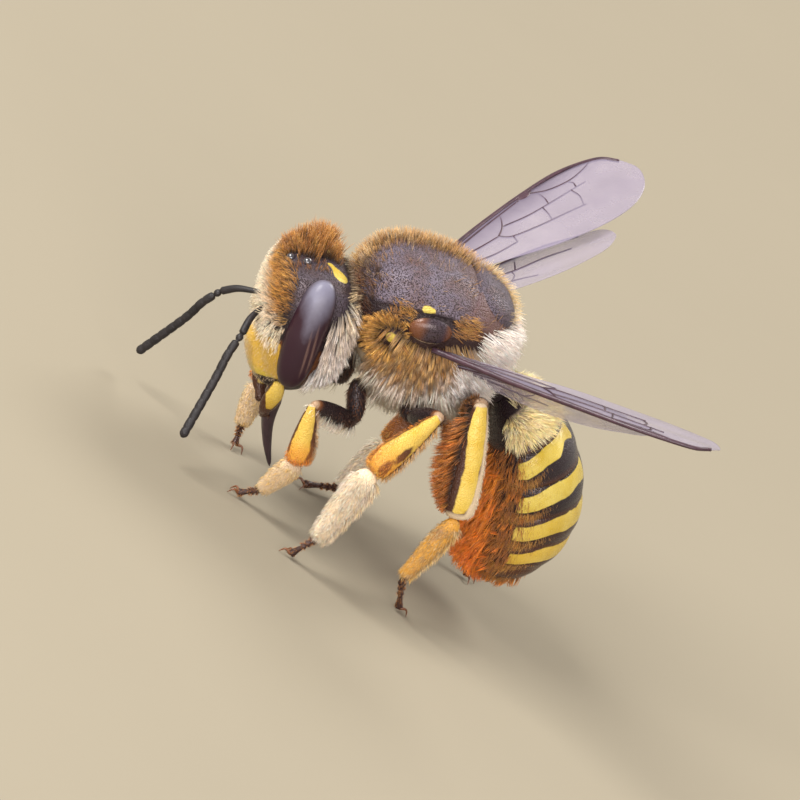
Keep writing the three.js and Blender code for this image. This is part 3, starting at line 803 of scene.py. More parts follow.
for leg, joints in LEGS.items():
    pair, side_name = leg.split("_")
    side = SIDES[side_name]
    for (segment, (profile, flatness)), start, end in zip(LEG_SHAPES.items(), joints, joints[1:]):
        length, radius = (Vector(end) - Vector(start)).length, LEG_RADII[pair][segment]
        place = FLOOR @ limb_place(start, end)
        profile = BLADE if (pair, segment) == ("hind", "tibia") else profile
        paint = limb_paint(pair, segment, side, length, radius, place)
        keep_part(f"{leg}_{segment}", turned(length, radius, profile, flatness), place, paint)
    instep, foot = Vector(joints[4]), Vector(joints[5]) + FOOT_LIFT
    ends = [instep.lerp(foot, share) for share in TARSOMERE_ENDS]
    for number, (start, end, radius) in enumerate(zip(ends, ends[1:], TARSOMERE_RADII), 1):
        length = (end - start).length * TARSOMERE_OVERLAP
        place = FLOOR @ limb_place(start, end)
        bead = turned(length, radius, TARSOMERE, around=16, steps=3)
        paint = limb_paint(pair, "tarsus", side, length, radius, place)
        keep_part(f"{leg}_tarsus_{number}", bead, place, paint)
print("six legs:", len(skin_parts), "parts in all")

# %% [markdown]
# All the shells now become one mesh, the skin, which stands for every flesh node of the
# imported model. The painted numbers go along as attributes of its vertices.


# %% One skin
def new_object(name, mesh, material, replaces=()):
    mesh.materials.append(material)
    mesh.shade_smooth()
    piece = bpy.data.objects.new(name, mesh)
    scene.collection.objects.link(piece)
    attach(piece, "root")
    if replaces:
        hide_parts(*replaces)
    return piece


def moved(points, place):
    """Points in a part's own frame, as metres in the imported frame."""
    matrix = np.array(place)
    return points @ matrix[:3, :3].T + matrix[:3, 3]


SKIN_NODES = ["head", "neck", "thorax", "scutellum", "waist"]
SKIN_NODES += [f"abdomen_{number}" for number in range(1, 7)]
SKIN_NODES += [f"leg_{leg}_{part}" for leg in LEGS for part in (*LEG_SHAPES, "tarsus")]


def write_paint(mesh, name, values):
    values = np.broadcast_to(values, len(mesh.vertices)).astype(np.float32)
    mesh.attributes.new(name, "FLOAT", "POINT").data.foreach_set("value", values)


def make_skin():
    parts = skin_parts.values()
    points = np.vstack([moved(part["points"], part["place"]) for part in parts])
    faces, offset = [], 0
    for part in parts:
        faces += [tuple(corner + offset for corner in face) for face in part["faces"]]
        offset += len(part["points"])
    mesh = bpy.data.meshes.new("skin")
    mesh.from_pydata(points.tolist(), [], faces)
    for name in SKIN_PAINTS:
        values = [np.broadcast_to(part["paint"][name], len(part["points"])) for part in parts]
        write_paint(mesh, name, np.concatenate(values))
    mesh.validate()
    return new_object("skin", mesh, SKIN_MATERIAL, SKIN_NODES)


skin = make_skin()
print("skin:", len(skin.data.polygons), "faces")

# %% [markdown]
# ## Eyes
#
# A bee's eye is a tall smooth kidney of thousands of tiny lenses. Seen from any side it is
# one glossy surface, wine-dark, with lavender grey on its upper part that is a painted
# reflection of the sky, partly a pale frosting of the eye itself, and faint russet lines of
# painted reflection down its length. The lavender weakens where the eye turns away from the
# camera. The facets are only fine bump, and a clear coat over the colour gives the wet
# shine. Its shape is the imported model's own, in finer steps.

# %% Eye material and eyes
# Lavender and russet are painted reflections on the wine-dark eye.
WINE, RUSSET_REFLECTION, SKY_REFLECTION_LAVENDER = (0.022, 0.006, 0.013), (0.15, 0.085, 0.07), (0.155, 0.15, 0.205)


def finish_piece(name, bm, place, material, replaces=(), paint=None):
    """Turn a closed bmesh in a part's own frame into a finished piece of the model."""
    points, faces = shell_arrays(bm)
    values = paint(points) if paint else {}
    mesh = bpy.data.meshes.new(name)
    mesh.from_pydata(moved(points, place), [], faces)
    for key, value in values.items():
        write_paint(mesh, key, value)
    return new_object(name, mesh, material, replaces)


def make_eye_material():
    constants = {"Roughness": 0.42, "Coat_Weight": 0.1, "Coat_Roughness": 0.3, "IOR": 1.4}
    material, tree, shader, pits, blotches = start_material("eye", 34.0, 1.1, **constants)
    uneven = between(tree, blotches, 0.3, 0.7, -0.5, 0.5)
    cloudy = sum_of(tree, read_attribute(tree, "height"), uneven, 0.35)
    reflection_streaks = between(tree, read_attribute(tree, "streak"), 0.35, 1.0)
    # The lavender share is a painted reflection of the sky, fading where the eye turns from the camera.
    turned_away = add_node(tree, "ShaderNodeLayerWeight", {"Blend": 0.5}).outputs["Facing"]
    facing = between(tree, turned_away, 0.35, 0.85, 1.0, 0.3)
    sky_reflection_share = product_of(tree, between(tree, cloudy, 0.05, 0.85), facing)
    bloom = blend_colours(tree, sky_reflection_share, blend_colours(tree, reflection_streaks, WINE, RUSSET_REFLECTION), SKY_REFLECTION_LAVENDER)
    tree.links.new(bloom, shader.inputs["Base Color"])
    roughen(tree, shader, pits, 0.0025, 0.6)
    return material


def paint_eye(points):
    # Height places the painted sky reflection high and to the rear; the russet lines of painted reflection
    # run down the middle.
    offset = (points - EYE_MIDDLE * (1, 0, 1)) / EYE_HALF
    streak = 0.5 + 0.5 * np.sin(21 * offset[:, 0] + 2.5 * np.sin(2.1 * offset[:, 2]))
    height = offset[:, 2] - 0.45 * offset[:, 0] - 1.3 * np.maximum(-0.25 - offset[:, 0], 0)
    middle = hill(offset * (1, 0, 1), np.array((0.3, 0, -0.15)), np.array((0.55, 1, 0.75)))
    return {"height": height, "streak": streak * middle**0.5}


EYE_MATERIAL = make_eye_material()
for side_name, side in SIDES.items():

    def eye_rule(u, side=side):
        u = squared_ball(u, 2.0 + 0.4 * soft_step(np.abs(u[:, 2]), 0.2, 0.8))
        y = side * (EYE_MIDDLE[1] - EYE_SPLAY * u[:, 2] ** 2) + EYE_HALF[1] * u[:, 1]
        rear = 1 - 0.1 * soft_step(-u[:, 2], -0.9, 0.3)
        x = EYE_MIDDLE[0] + EYE_HALF[0] * u[:, 0] * np.where(u[:, 0] > 0, rear, 1)
        x += 0.1 * np.maximum(u[:, 2], 0)
        z = EYE_MIDDLE[2] + EYE_HALF[2] * u[:, 2]
        return np.stack((x, y, z), axis=1)

    name = f"eye_{side_name}"
    finish_piece(f"{name}_lens", ball(64, 64, eye_rule), TRUNK, EYE_MATERIAL, [name], paint_eye)
print("two eyes")

# %% [markdown]
# Three ocelli, simple eyes like beads of dark glass, sit in a triangle on top of the head.
# Each is set on the nearest point of the head capsule, sunk to nearly half its depth.

# %% Ocelli
OCELLI = {
    "ocellus_middle": (-4.12, -0.05, 0.84),
    "ocellus_left": (-3.8, -0.48, 1.0),
    "ocellus_right": (-3.8, 0.42, 1.0),
}
DARK_GLASS, PALE_GLASS = (0.02, 0.018, 0.024), (0.05, 0.045, 0.055)
OCELLUS_RADIUS = 0.13


def on_head(target):
    """The point of the head capsule in the direction of a target, and its normal."""
    ways = skin_parts["head"]["points"] - HEAD_MIDDLE
    wanted = np.array(target) - HEAD_MIDDLE
    best = (ways @ wanted / np.linalg.norm(ways, axis=1)).argmax()
    return skin_parts["head"]["points"][best], skin_parts["head"]["normals"][best]


glass, tree, shader, _, blotches = start_material("ocellus", 20, 2, Roughness=0.05, Coat_Weight=1, IOR=1.6)
glass_colour = blend_colours(tree, between(tree, blotches, 0.4, 0.6), DARK_GLASS, PALE_GLASS)
tree.links.new(glass_colour, shader.inputs["Base Color"])
for name, target in OCELLI.items():
    seat, lift = on_head(target)
    bead = ball(24, 16, lambda u, seat=seat, lift=lift: seat + 0.02 * lift + OCELLUS_RADIUS * u)
    finish_piece(name, bead, TRUNK, glass)
print("three ocelli")

# %% [markdown]
# ## Feelers
#
# Feelers, jaws, veins and claws are all thin rods that follow a bent line. A grid rolled
# round a smooth path makes any such rod in one go, with its own radius at every step.


# %% Rods along a path
def roll_rod(bm, path, radii, around=16, reference=(0, 0, 1), flatness=1.0):
    """Add a closed rod round a path, from a grid rolled up along it."""
    path, radii = np.asarray(path, float), np.asarray(radii, float)
    levels = len(path) - 1
    verts = bmesh.ops.create_grid(bm, x_segments=around, y_segments=levels, size=1)["verts"]
    flat = np.array([vert.co for vert in verts])
    row = np.round((flat[:, 1] + 1) / 2 * levels).astype(int)
    angle = math.pi * (flat[:, 0] + 1)
    tangent = np.gradient(path, axis=0)
    tangent /= np.linalg.norm(tangent, axis=1, keepdims=True)
    across = np.cross(tangent, reference)
    across /= np.linalg.norm(across, axis=1, keepdims=True)
    upward = flatness * np.cross(across, tangent)
    ring = np.cos(angle)[:, None] * across[row] + np.sin(angle)[:, None] * upward[row]
    for vert, place in zip(verts, path[row] + radii[row, None] * ring):
        vert.co = place


def close_rods(bm):
    bmesh.ops.remove_doubles(bm, verts=bm.verts, dist=MERGE_DISTANCE)
    bmesh.ops.holes_fill(bm, edges=[edge for edge in bm.edges if edge.is_boundary])
    return bm


def even_steps(line, count):
    """Points at even steps along a line of many points."""
    steps = np.concatenate(([0], np.linalg.norm(np.diff(line, axis=0), axis=1).cumsum()))
    wanted = np.linspace(0, steps[-1], count)
    return np.stack([np.interp(wanted, steps, axis) for axis in line.T], axis=1)


def even_path(controls, count):
    """Points at even steps along a smooth curve through the controls."""
    return even_steps(catmull(controls, 30), count)


def plain_finish(name, first, second, depth, **constants):
    """A pitted material of two mottled tones, for small hard parts."""
    material, tree, shader, pit, blotch = start_material(name, 26.0, 3.0, **constants)
    tone = blend_colours(tree, between(tree, sum_of(tree, blotch, pit, 0.25), 0.4, 0.8), first, second)
    tree.links.new(tone, shader.inputs["Base Color"])
    roughen(tree, shader, pit, depth)
    return material


# %% [markdown]
# A female bee's feeler has a long first joint, the scape, then an elbow with a small bead,
# and ten short joints beyond it, so the radius along its path narrows at every joint.

# %% Feelers
FEELERS = {
    "left": [(-4.55, -0.4, -0.6), (-4.99, -1.1, -1.12), (-5.42, -1.62, -2.35), (-5.93, -2.3, -3.86)],
    "right": [(-4.6, 0.4, -0.5), (-5.4, 0.9, -0.95), (-6.0, 1.25, -2.1), (-6.82, 1.7, -3.58)],
}
FLAGELLOMERES = 10
FEELER_TONES = ((0.005, 0.004, 0.005), (0.018, 0.015, 0.016))
FEELER_MATERIAL = plain_finish("feeler", *FEELER_TONES, 0.006, Roughness=0.5, IOR=1.4)
joint_wave = np.array([0.88, 0.96, 0.99, 1.0, 1.01, 1.01, 1.01, 1.0, 0.97])
for side_name, (base, elbow, middle, tip) in FEELERS.items():
    bm = bmesh.new()
    inward = np.array(base) + 0.3 * (np.array(base) - elbow) + (0.12, 0, 0)
    scape = even_path([inward, base, np.add(base, elbow) / 2 + (-0.05, 0, 0.07), elbow], 28)
    scape_share = np.linspace(0, 1, 28)
    pinch = 0.02 * np.exp(-(((scape_share - 0.22) / 0.05) ** 2))
    scape_radii = 0.07 + 0.035 * soft_step(scape_share, 0.2, 0.9) - pinch
    scape_radii[[0, -1]] = 0.04, 0.06
    roll_rod(bm, scape, scape_radii)
    bead = 0.1 * np.sin(np.linspace(0.5, 2.7, 8))
    beads = 0.118 * np.tile(joint_wave, FLAGELLOMERES)
    beads *= np.linspace(0.96, 1.04, len(beads))
    beads[-4:] *= (0.95, 0.82, 0.6, 0.25)
    bend = np.add(elbow, middle) / 2 + (-0.04, -0.02, 0.06)
    flagellum = even_path([elbow, bend, middle, tip], len(bead) + len(beads))
    roll_rod(bm, flagellum, np.concatenate((bead, beads)))
    nodes = [f"antenna_{side_name}_{part}" for part in ("scape", "flagellum_base", "flagellum_tip")]
    finish_piece(f"feeler_{side_name}", close_rods(bm), TRUNK, FEELER_MATERIAL, nodes)

# %% [markdown]
# ## Jaws and tongue
#
# The mandibles are strong curved blades, yellow outside and black along their toothed
# edge: this bee shaves plant wool with them. The tongue is folded down between them under
# two long brown flaps, each with a thin palp beside it.

# %% Mandibles and tongue
JAW_TEETH = 5
JAW_LINE = [(-3.6, 1.12, -2.2), (-3.62, 1.0, -2.72), (-3.62, 0.76, -3.2), (-3.54, 0.42, -3.56)]
FLAP_LINE = [(-3.36, 0.16, -2.7), (-3.32, 0.13, -3.7), (-3.13, 0.05, -4.44), (-2.84, 0.012, -5.15)]
FLAP_RADII = ([0, 0.2, 0.45, 0.75, 0.95, 1], [0.16, 0.22, 0.16, 0.11, 0.06, 0.015])
PALP_LINE = [(-3.3, 0.14, -3.2), (-3.42, 0.16, -3.6), (-3.32, 0.1, -4.05)]


def jaw_paint(points):
    way = (-2.3 - points[:, 2]) / 0.95
    kite = 0.25 * (1 - 1.1 * np.abs(way - 0.35)) - np.abs(points[:, 0] + 3.62)
    return {"yellow": np.minimum(kite, 0.6 * (0.9 - way)), "gloss": 0.5, "amber": 0.25}


for side_name, side in SIDES.items():
    bm = bmesh.new()
    blade = even_path(np.array(JAW_LINE) * (1, side, 1), 26)
    share = np.linspace(0, 1, 26)
    blade_radii = 0.14 + 0.13 * np.sin(math.pi * np.clip(share / 0.8, 0, 1)) ** 0.8
    blade_radii[[0, -1]] *= (0.5, 0.6)
    roll_rod(bm, blade, blade_radii, around=20, reference=(0.2, side, 0), flatness=0.55)
    for number in range(JAW_TEETH):
        root = blade[-2] + (0.16 - 0.08 * number) * np.array((0.75, 0, 0.35)) * (1, 1, -0.4)
        point = root + np.array((0.02, -0.08 * side, -0.13 + 0.015 * number))
        tooth = even_path([root, (root + point) / 2, point], 6)
        roll_rod(bm, tooth, np.linspace(0.045, 0.008, 6), around=8, reference=(1, 0, 0))
    nodes = [f"mandible_{side_name}"]
    finish_piece(f"jaw_{side_name}", close_rods(bm), TRUNK, SKIN_MATERIAL, nodes, jaw_paint)

TONGUE_TONES = ((0.012, 0.006, 0.01), (0.04, 0.02, 0.026))
TONGUE_MATERIAL = plain_finish("tongue flaps", *TONGUE_TONES, 0.004, Roughness=0.32, Coat_Weight=0.2)
bm = bmesh.new()
flap_radii = np.interp(np.linspace(0, 1, 24), *FLAP_RADII)
for side in SIDES.values():
    flap = even_path(np.array(FLAP_LINE) * (1, side, 1), 24)
    roll_rod(bm, flap, flap_radii, around=14, reference=(0, 1, 0), flatness=0.7)
    palp = even_path(np.array(PALP_LINE) * (1, side, 1), 18)
    roll_rod(bm, palp, 0.045 - 0.03 * np.linspace(0, 1, 18), around=10)
finish_piece("tongue", close_rods(bm), TRUNK, TONGUE_MATERIAL, ["proboscis"])
print("jaws and tongue")

# %% [markdown]
# A tegula is a smooth brown cap over the root of each forewing, dark and glossy behind,
# amber in front, with a thin turned-out rim.


# %% Wing caps
TEGULA_HALF = np.array([0.56, 0.17, 0.34])
for side_name, side in SIDES.items():

    def cap_rule(u, side=side):
        out = u[:, 1] * side
        brim = np.exp(-(((out + 0.1) / 0.12) ** 2))
        shaped = u * TEGULA_HALF * (1 + 0.07 * brim[:, None] * (1, 0, 1))
        shaped[:, 1] *= np.where(out > 0, 1.0, 0.55)
        return shaped + (TEGULA_MIDDLE.x, side * TEGULA_MIDDLE.y, TEGULA_MIDDLE.z + 0.06)

    def cap_paint(points):
        front = (TEGULA_MIDDLE.x - points[:, 0]) / TEGULA_HALF[0]
        low = (TEGULA_MIDDLE.z - points[:, 2]) / TEGULA_HALF[2]
        rim = soft_step(low + 0.3 * front**2, 0.72, 0.86)
        amber = np.maximum(0.5 * soft_step(front, 0.1, 0.6), 0.5 * soft_step(-front, 0.55, 0.9))
        # The cap carries some painted reflection of the sky.
        return {"yellow": -1.0, "amber": amber, "bloom": 0.3, "pale": 0.5 * rim, "gloss": 0.95}

    name, cap = f"tegula_{side_name}", ball(48, 32, cap_rule)
    finish_piece(f"{name}_cap", cap, TRUNK, SKIN_MATERIAL, [name], cap_paint)
print("two wing caps")

# %% [markdown]
# ## Wings
#
# A wing is a film stiffened by veins, thin rods that ride on it. Each wing has its own
# frame at its hinge, and its outline is a few smooth curves in shares of its length and
# width. Film and veins use one rule for the wing's height, so they can't come apart.

# %% Wing frames and edges
FOREWING_SIZE = (8.2, 2.65)
HINDWING_SIZE = (5.4, 1.85)
WINGS = {  # hinge, sweep, lift and pitch in degrees
    "forewing_left": ((-0.14, -1.95, 0.08), 40, 8, 11),
    "forewing_right": ((-0.14, 1.95, 0.08), 50, 18, -9),
    "hindwing_left": ((0.6, -1.95, -0.25), 22, 6, 40),
    "hindwing_right": ((0.6, 1.95, -0.15), 34, 20, -18),
}
FORE_LEAD = [(0, -0.07), (0.35, -0.12), (0.75, -0.1), (0.92, 0.14)]
FORE_TIP = [(0.92, 0.14), (1.0, 0.3), (1.01, 0.62), (0.9, 0.84)]
FORE_HIND = [(0.9, 0.84), (0.8, 1.02), (0.7, 0.98), (0.6, 0.9)]
FORE_ROOT = [(0.6, 0.9), (0.4, 0.72), (0.2, 0.3), (0, 0.11)]
HIND_LEAD = [(0, -0.1), (0.3, -0.2), (0.7, -0.15), (0.92, 0.1)]
HIND_TIP = [(0.92, 0.1), (1.05, 0.3), (1.0, 0.6), (0.85, 0.78)]
HIND_ROOT = [(0.85, 0.78), (0.6, 1.05), (0.25, 0.95), (0, 0.25)]


def wing_place(side, hinge, sweep, lift, pitch):
    """The wing's own frame: X towards its tip, Y towards its rear edge."""
    sweep, lift, pitch = math.radians(sweep), math.radians(lift), math.radians(pitch)
    level = Vector((math.cos(sweep), side * math.sin(sweep), 0))
    span = math.cos(lift) * level + Vector((0, 0, math.sin(lift)))
    chord = Vector((0, 0, -side)).cross(span).normalized()
    chord = Matrix.Rotation(side * pitch, 3, span) @ chord
    return TRUNK @ posed(Vector(hinge), span, chord, span.cross(chord))


def bezier(corners, steps=40):
    share = np.linspace(0, 1, steps)[:, None]
    start, first, second, end = np.array(corners)
    near = (1 - share) ** 3 * start + 3 * share * (1 - share) ** 2 * first
    return near + 3 * share**2 * (1 - share) * second + share**3 * end


def wing_edges(lead, tip, hind, size, count):
    """Leading and trailing edge, each from the root to the very tip, in millimetres."""
    end = bezier(tip)
    half = len(end) // 2
    front = np.vstack((bezier(lead)[:-1], end[: half + 1]))
    rear = np.vstack([end[half:]] + [bezier(piece)[1:] for piece in hind])[::-1]
    return even_steps(front * size, count), even_steps(rear * size, count)


def wing_height(along, back):
    """How far the film stands off its plane, from shares of the wing's length and width."""
    camber = 0.16 * (back - 0.1) * (0.75 - back)
    ripple = 0.022 * np.sin(15 * back - 5 * along) * soft_step(along, 0.1, 0.5)
    return camber + ripple * (1 - 0.5 * back)


print("wing frames and edges ready")

# %% [markdown]
# The film is a fine grid drawn out between the leading and the trailing edge, slightly
# waved, and solidified to a skin a fiftieth of a millimetre thick. Its clear parts are a
# violet grey that is a painted reflection of the pale sky; it is smoky, darkest along the
# leading edge, and where it is smokier it lets less light through.

# %% Wing film
SPAN_STEPS, CHORD_STEPS = 90, 26
FILM_THICKNESS = 0.02
# The clear film's violet grey is a painted reflection of the sky.
SKY_TINTED_FILM, SMOKED_FILM = (0.33, 0.29, 0.39), (0.06, 0.04, 0.07)


def make_film_material():
    constants = {"Roughness": 0.28, "IOR": 1.56}
    material, tree, shader, pits, blotches = start_material("wing film", 12.0, 0.8, **constants)
    smoke = read_attribute(tree, "smoke")
    cloudy = sum_of(tree, smoke, between(tree, blotches, 0.3, 0.7, -0.5, 0.5), 0.2)
    tone = blend_colours(tree, between(tree, cloudy, 0.1, 0.95), SKY_TINTED_FILM, SMOKED_FILM)
    tree.links.new(tone, shader.inputs["Base Color"])
    tree.links.new(between(tree, cloudy, 0.0, 1.0, 0.36, 0.95), shader.inputs["Alpha"])
    roughen(tree, shader, pits, 0.004, 0.5)
    return material


FILM_MATERIAL = make_film_material()


def make_film(name, front, rear, size, smoke, place):
    bm = bmesh.new()
    bmesh.ops.create_grid(bm, x_segments=SPAN_STEPS, y_segments=CHORD_STEPS, size=1)

    def stretch(flat):
        step = np.round((flat[:, 0] + 1) / 2 * SPAN_STEPS).astype(int)
        share = ((flat[:, 1] + 1) / 2)[:, None]
        plane = front[step] * (1 - share) + rear[step] * share
        return np.column_stack((plane, wing_height(*(plane / size).T)))

    def paint(points):
        return {"smoke": smoke(*(points[:, :2] / size).T)}

    reshape(bm, stretch)
    bmesh.ops.remove_doubles(bm, verts=bm.verts, dist=MERGE_DISTANCE)
    bmesh.ops.recalc_face_normals(bm, faces=bm.faces)
    bmesh.ops.solidify(bm, geom=bm.verts[:] + bm.edges[:] + bm.faces[:], thickness=FILM_THICKNESS)
    finish_piece(f"{name}_film", bm, place, FILM_MATERIAL, [name], paint)


def fore_smoke(along, back):
    edge = soft_step(0.2 - back, -0.12, 0.3)
    return 0.06 + 0.5 * edge + 0.14 * soft_step(along, 0.1, 0.6)


def hind_smoke(along, back):
    return 0.3 * soft_step(0.1 - back, -0.1, 0.3) + 0.15 * soft_step(along, 0.6, 1.0)


FORE_EDGES = wing_edges(FORE_LEAD, FORE_TIP, [FORE_HIND, FORE_ROOT], FOREWING_SIZE, SPAN_STEPS + 1)
HIND_EDGES = wing_edges(HIND_LEAD, HIND_TIP, [HIND_ROOT], HINDWING_SIZE, SPAN_STEPS + 1)
wing_places = {}
for name, pose in WINGS.items():
    kind, side_name = name.split("_")
    plan = {
        "forewing": (*FORE_EDGES, FOREWING_SIZE, fore_smoke),
        "hindwing": (*HIND_EDGES, HINDWING_SIZE, hind_smoke),
    }[kind]
    wing_places[name] = wing_place(SIDES[side_name], *pose)
    make_film(name, *plan, wing_places[name])
print("four wing films")

# %% [markdown]
# The veins follow the plan of a leafcutter's family: a thick rod along the leading edge to
# a small dark spot, the pterostigma, a long cell beyond it, two small cells under it, and
# two veins running back. Points are shares of the wing's length and width.

# %% Veins
FORE_CORNER = [(0.8, -0.01), (0.93, 0.16), (0.975, 0.36)]
FORE_VEINS = {  # radius, and places in shares of the wing's length and width
    "leading edge": (0.085, [(0.0, -0.04), (0.2, -0.07), (0.4, -0.085), (0.62, -0.07), *FORE_CORNER]),
    "second rod": (0.05, [(0.0, 0.0), (0.2, -0.02), (0.4, -0.03), (0.58, -0.03)]),
    "middle rod": (0.045, [(0.0, 0.03), (0.15, 0.07), (0.3, 0.14), (0.38, 0.17)]),
    "rear rod": (0.035, [(0.0, 0.07), (0.15, 0.17), (0.28, 0.32), (0.39, 0.38)]),
    "basal vein": (0.035, [(0.38, 0.17), (0.42, 0.12), (0.46, 0.02), (0.47, -0.03)]),
    "marginal vein": (0.035, [(0.64, -0.01), (0.69, 0.1), (0.78, 0.17), (0.87, 0.16), (0.92, 0.12)]),
    "cubital vein": (0.03, [(0.43, 0.11), (0.53, 0.19), (0.63, 0.235), (0.73, 0.27), (0.81, 0.3)]),
    "first cross vein": (0.03, [(0.63, 0.235), (0.645, 0.15), (0.655, 0.04)]),
    "second cross vein": (0.03, [(0.765, 0.28), (0.775, 0.22), (0.765, 0.165)]),
    "discoidal vein": (0.03, [(0.38, 0.17), (0.41, 0.28), (0.52, 0.4), (0.63, 0.49), (0.7, 0.55)]),
    "first recurrent": (0.028, [(0.6, 0.23), (0.585, 0.33), (0.56, 0.435)]),
    "second recurrent": (0.028, [(0.74, 0.275), (0.73, 0.4), (0.69, 0.54)]),
    "rear cross vein": (0.028, [(0.41, 0.28), (0.39, 0.38)]),
}
HIND_VEINS = {
    "leading edge": (0.05, [(0.0, -0.05), (0.25, -0.13), (0.5, -0.14), (0.7, -0.09), (0.86, 0.06)]),
    "middle rod": (0.035, [(0.0, 0.02), (0.25, 0.1), (0.42, 0.19), (0.6, 0.22), (0.75, 0.3)]),
    "cross vein": (0.028, [(0.42, 0.19), (0.46, 0.04), (0.5, -0.13)]),
    "rear rod": (0.03, [(0.0, 0.1), (0.2, 0.32), (0.36, 0.5), (0.45, 0.62)]),
    "hind cross vein": (0.025, [(0.4, 0.18), (0.38, 0.32), (0.33, 0.46)]),
}
STIGMA = [(0.575, -0.05), (0.6, -0.045), (0.63, -0.04), (0.66, -0.04)]
VEIN_TONES = ((0.02, 0.009, 0.016), (0.055, 0.024, 0.036))
VEIN_MATERIAL = plain_finish("wing veins", *VEIN_TONES, 0.004, Roughness=0.35)


def over_film(controls, size, count):
    plane = even_path([(along, back, 0) for along, back in controls], count)[:, :2]
    return np.column_stack((plane * size, wing_height(*plane.T)))


def make_veins(name, plan, size, place):
    bm = bmesh.new()
    for radius, controls in plan.values():
        count = 8 * len(controls)
        path = over_film(controls, size, count)
        roll_rod(bm, path, radius * np.linspace(1.0, 0.6, count), around=8)
    if plan is FORE_VEINS:
        spot = over_film(STIGMA, size, 16)
        roll_rod(bm, spot, 0.13 * np.sin(np.linspace(0.15, 3.0, 16)) + 0.01, around=12, flatness=0.45)
    finish_piece(name, close_rods(bm), place, VEIN_MATERIAL)


for name, place in wing_places.items():
    plan, size = (FORE_VEINS, FOREWING_SIZE) if name.startswith("fore") else (HIND_VEINS, HINDWING_SIZE)
    make_veins(f"{name}_veins", plan, size, place)
print("veins on four wings")

# %% [markdown]
# ## Claws and spurs
#
# Each foot ends in two curved claws, and this bee has no pad between them. A thin brown
# spur stands at the lower end of every tibia.

# %% Claws and spurs
CLAW_TONES = ((0.05, 0.018, 0.008), (0.16, 0.055, 0.018))
CLAW_MATERIAL = plain_finish("claws", *CLAW_TONES, 0.003, Roughness=0.3)
CLAW_LENGTH = 0.3
SPUR_LENGTH = 0.42


def make_claws(leg):
    joints = [Vector(joint) for joint in LEGS[leg]]
    forward = ((joints[5] - joints[4]) * Vector((1, 1, 0))).normalized()
    sideways = Vector((-forward.y, forward.x, 0))
    bm = bmesh.new()
    for side in SIDES.values():
        spread = 0.35 * side * sideways
        root = joints[5] + 0.05 * side * sideways + Vector((0, 0, 0.05))
        knuckle = root + CLAW_LENGTH * (0.5 * forward + spread) + Vector((0, 0, 0.05))
        point = root + CLAW_LENGTH * (0.85 * forward + 1.4 * spread)
        point.z = 0.015
        roll_rod(bm, even_path([root, knuckle, point], 14), np.linspace(0.05, 0.008, 14), around=10)
    down = (joints[4] - joints[3]).normalized()
    rear = Vector((1, 0, 0)) if leg.startswith("hind") else Vector((-0.6, 0, 0))
    root = joints[3] - 0.05 * down
    knuckle = root + 0.5 * SPUR_LENGTH * (down + 0.5 * rear)
    point = root + SPUR_LENGTH * (down + 0.8 * rear)
    roll_rod(bm, even_path([root, knuckle, point], 12), np.linspace(0.035, 0.006, 12), around=8)
    finish_piece(f"claws_{leg}", close_rods(bm), FLOOR, CLAW_MATERIAL)


for leg in LEGS:
    make_claws(leg)
print("claws and spurs on six legs")

# %% [markdown]
# ## Coat
#
# Hair is what makes a bee a bee. Particle hair would be quick, but it is only a drawing
# trick, so each hair here is a thin three-sided spike, solid and closed, that starts just
# under the skin, leans with the lie of the coat and is drawn towards its neighbours'
# tips, as real hairs clump. Numpy lays out tens of thousands of them as one joined mesh.
# A coat is planned patch by patch: where it grows, how densely, how long, which way, and
# in which colours. All chance comes from one seeded generator, so each run grows the same
# hairs.

# %% Planting helpers
chance = np.random.default_rng(1758)


def unit(ways):
    return ways / np.maximum(np.linalg.norm(ways, axis=1, keepdims=True), 1e-9)


def shell_surface(parts, frame):
    """Triangles and corner normals of some shells of the skin, in a frame's millimetres."""
    corners, normals = [], []
    for name in parts:
        part = skin_parts[name]
        to_frame = frame.inverted() @ part["place"]
        corners.append(moved(part["points"], to_frame)[part["triangles"]])
        normals.append((part["normals"] @ np.array(to_frame)[:3, :3].T)[part["triangles"]])
    return np.concatenate(corners), np.concatenate(normals)


def pick_roots(corners, normals, count, density):
    """Random points on a shell, more where the patch is denser, with their normals."""
    sides = np.cross(corners[:, 1] - corners[:, 0], corners[:, 2] - corners[:, 0])
    wanted = np.clip(density(corners.mean(axis=1), unit(normals.mean(axis=1))), 0, 1)
    total = (np.linalg.norm(sides, axis=1) * wanted).cumsum()
    pick = np.searchsorted(total, chance.random(count) * total[-1])
    first, second = chance.random((2, count))
    folded = first + second > 1
    first, second = np.where(folded, 1 - first, first), np.where(folded, 1 - second, second)
    share = np.stack((1 - first - second, first, second), axis=1)[:, :, None]
    return (corners[pick] * share).sum(axis=1), unit((normals[pick] * share).sum(axis=1))


def lean(normals, flow, lift, jitter):
    """Directions between the lie of the coat, at lift 0, and straight up, at lift 1."""
    lying = unit(flow - (flow * normals).sum(axis=1, keepdims=True) * normals)
    lift = np.broadcast_to(lift, len(normals))[:, None]
    return unit(lying * (1 - lift) + normals * lift + jitter * chance.normal(size=normals.shape))


def nearest_guides(roots, per_tuft):
    """Gather hairs into tufts: the number of each hair's nearest guide hair."""
    guides = chance.choice(len(roots), max(1, len(roots) // per_tuft), replace=False)
    nearest = np.empty(len(roots), int)
    for start in range(0, len(roots), 1500):
        part = slice(start, start + 1500)
        far = ((roots[part, None] - roots[None, guides]) ** 2).sum(axis=2)
        nearest[part] = guides[far.argmin(axis=1)]
    return nearest


def clump(roots, tips, guide, pull):
    """Draw the tips of the hairs of a tuft together."""
    meeting = tips[guide] + 0.2 * (roots - roots[guide])
    return tips + pull * (meeting - tips)


print("planting helpers ready")

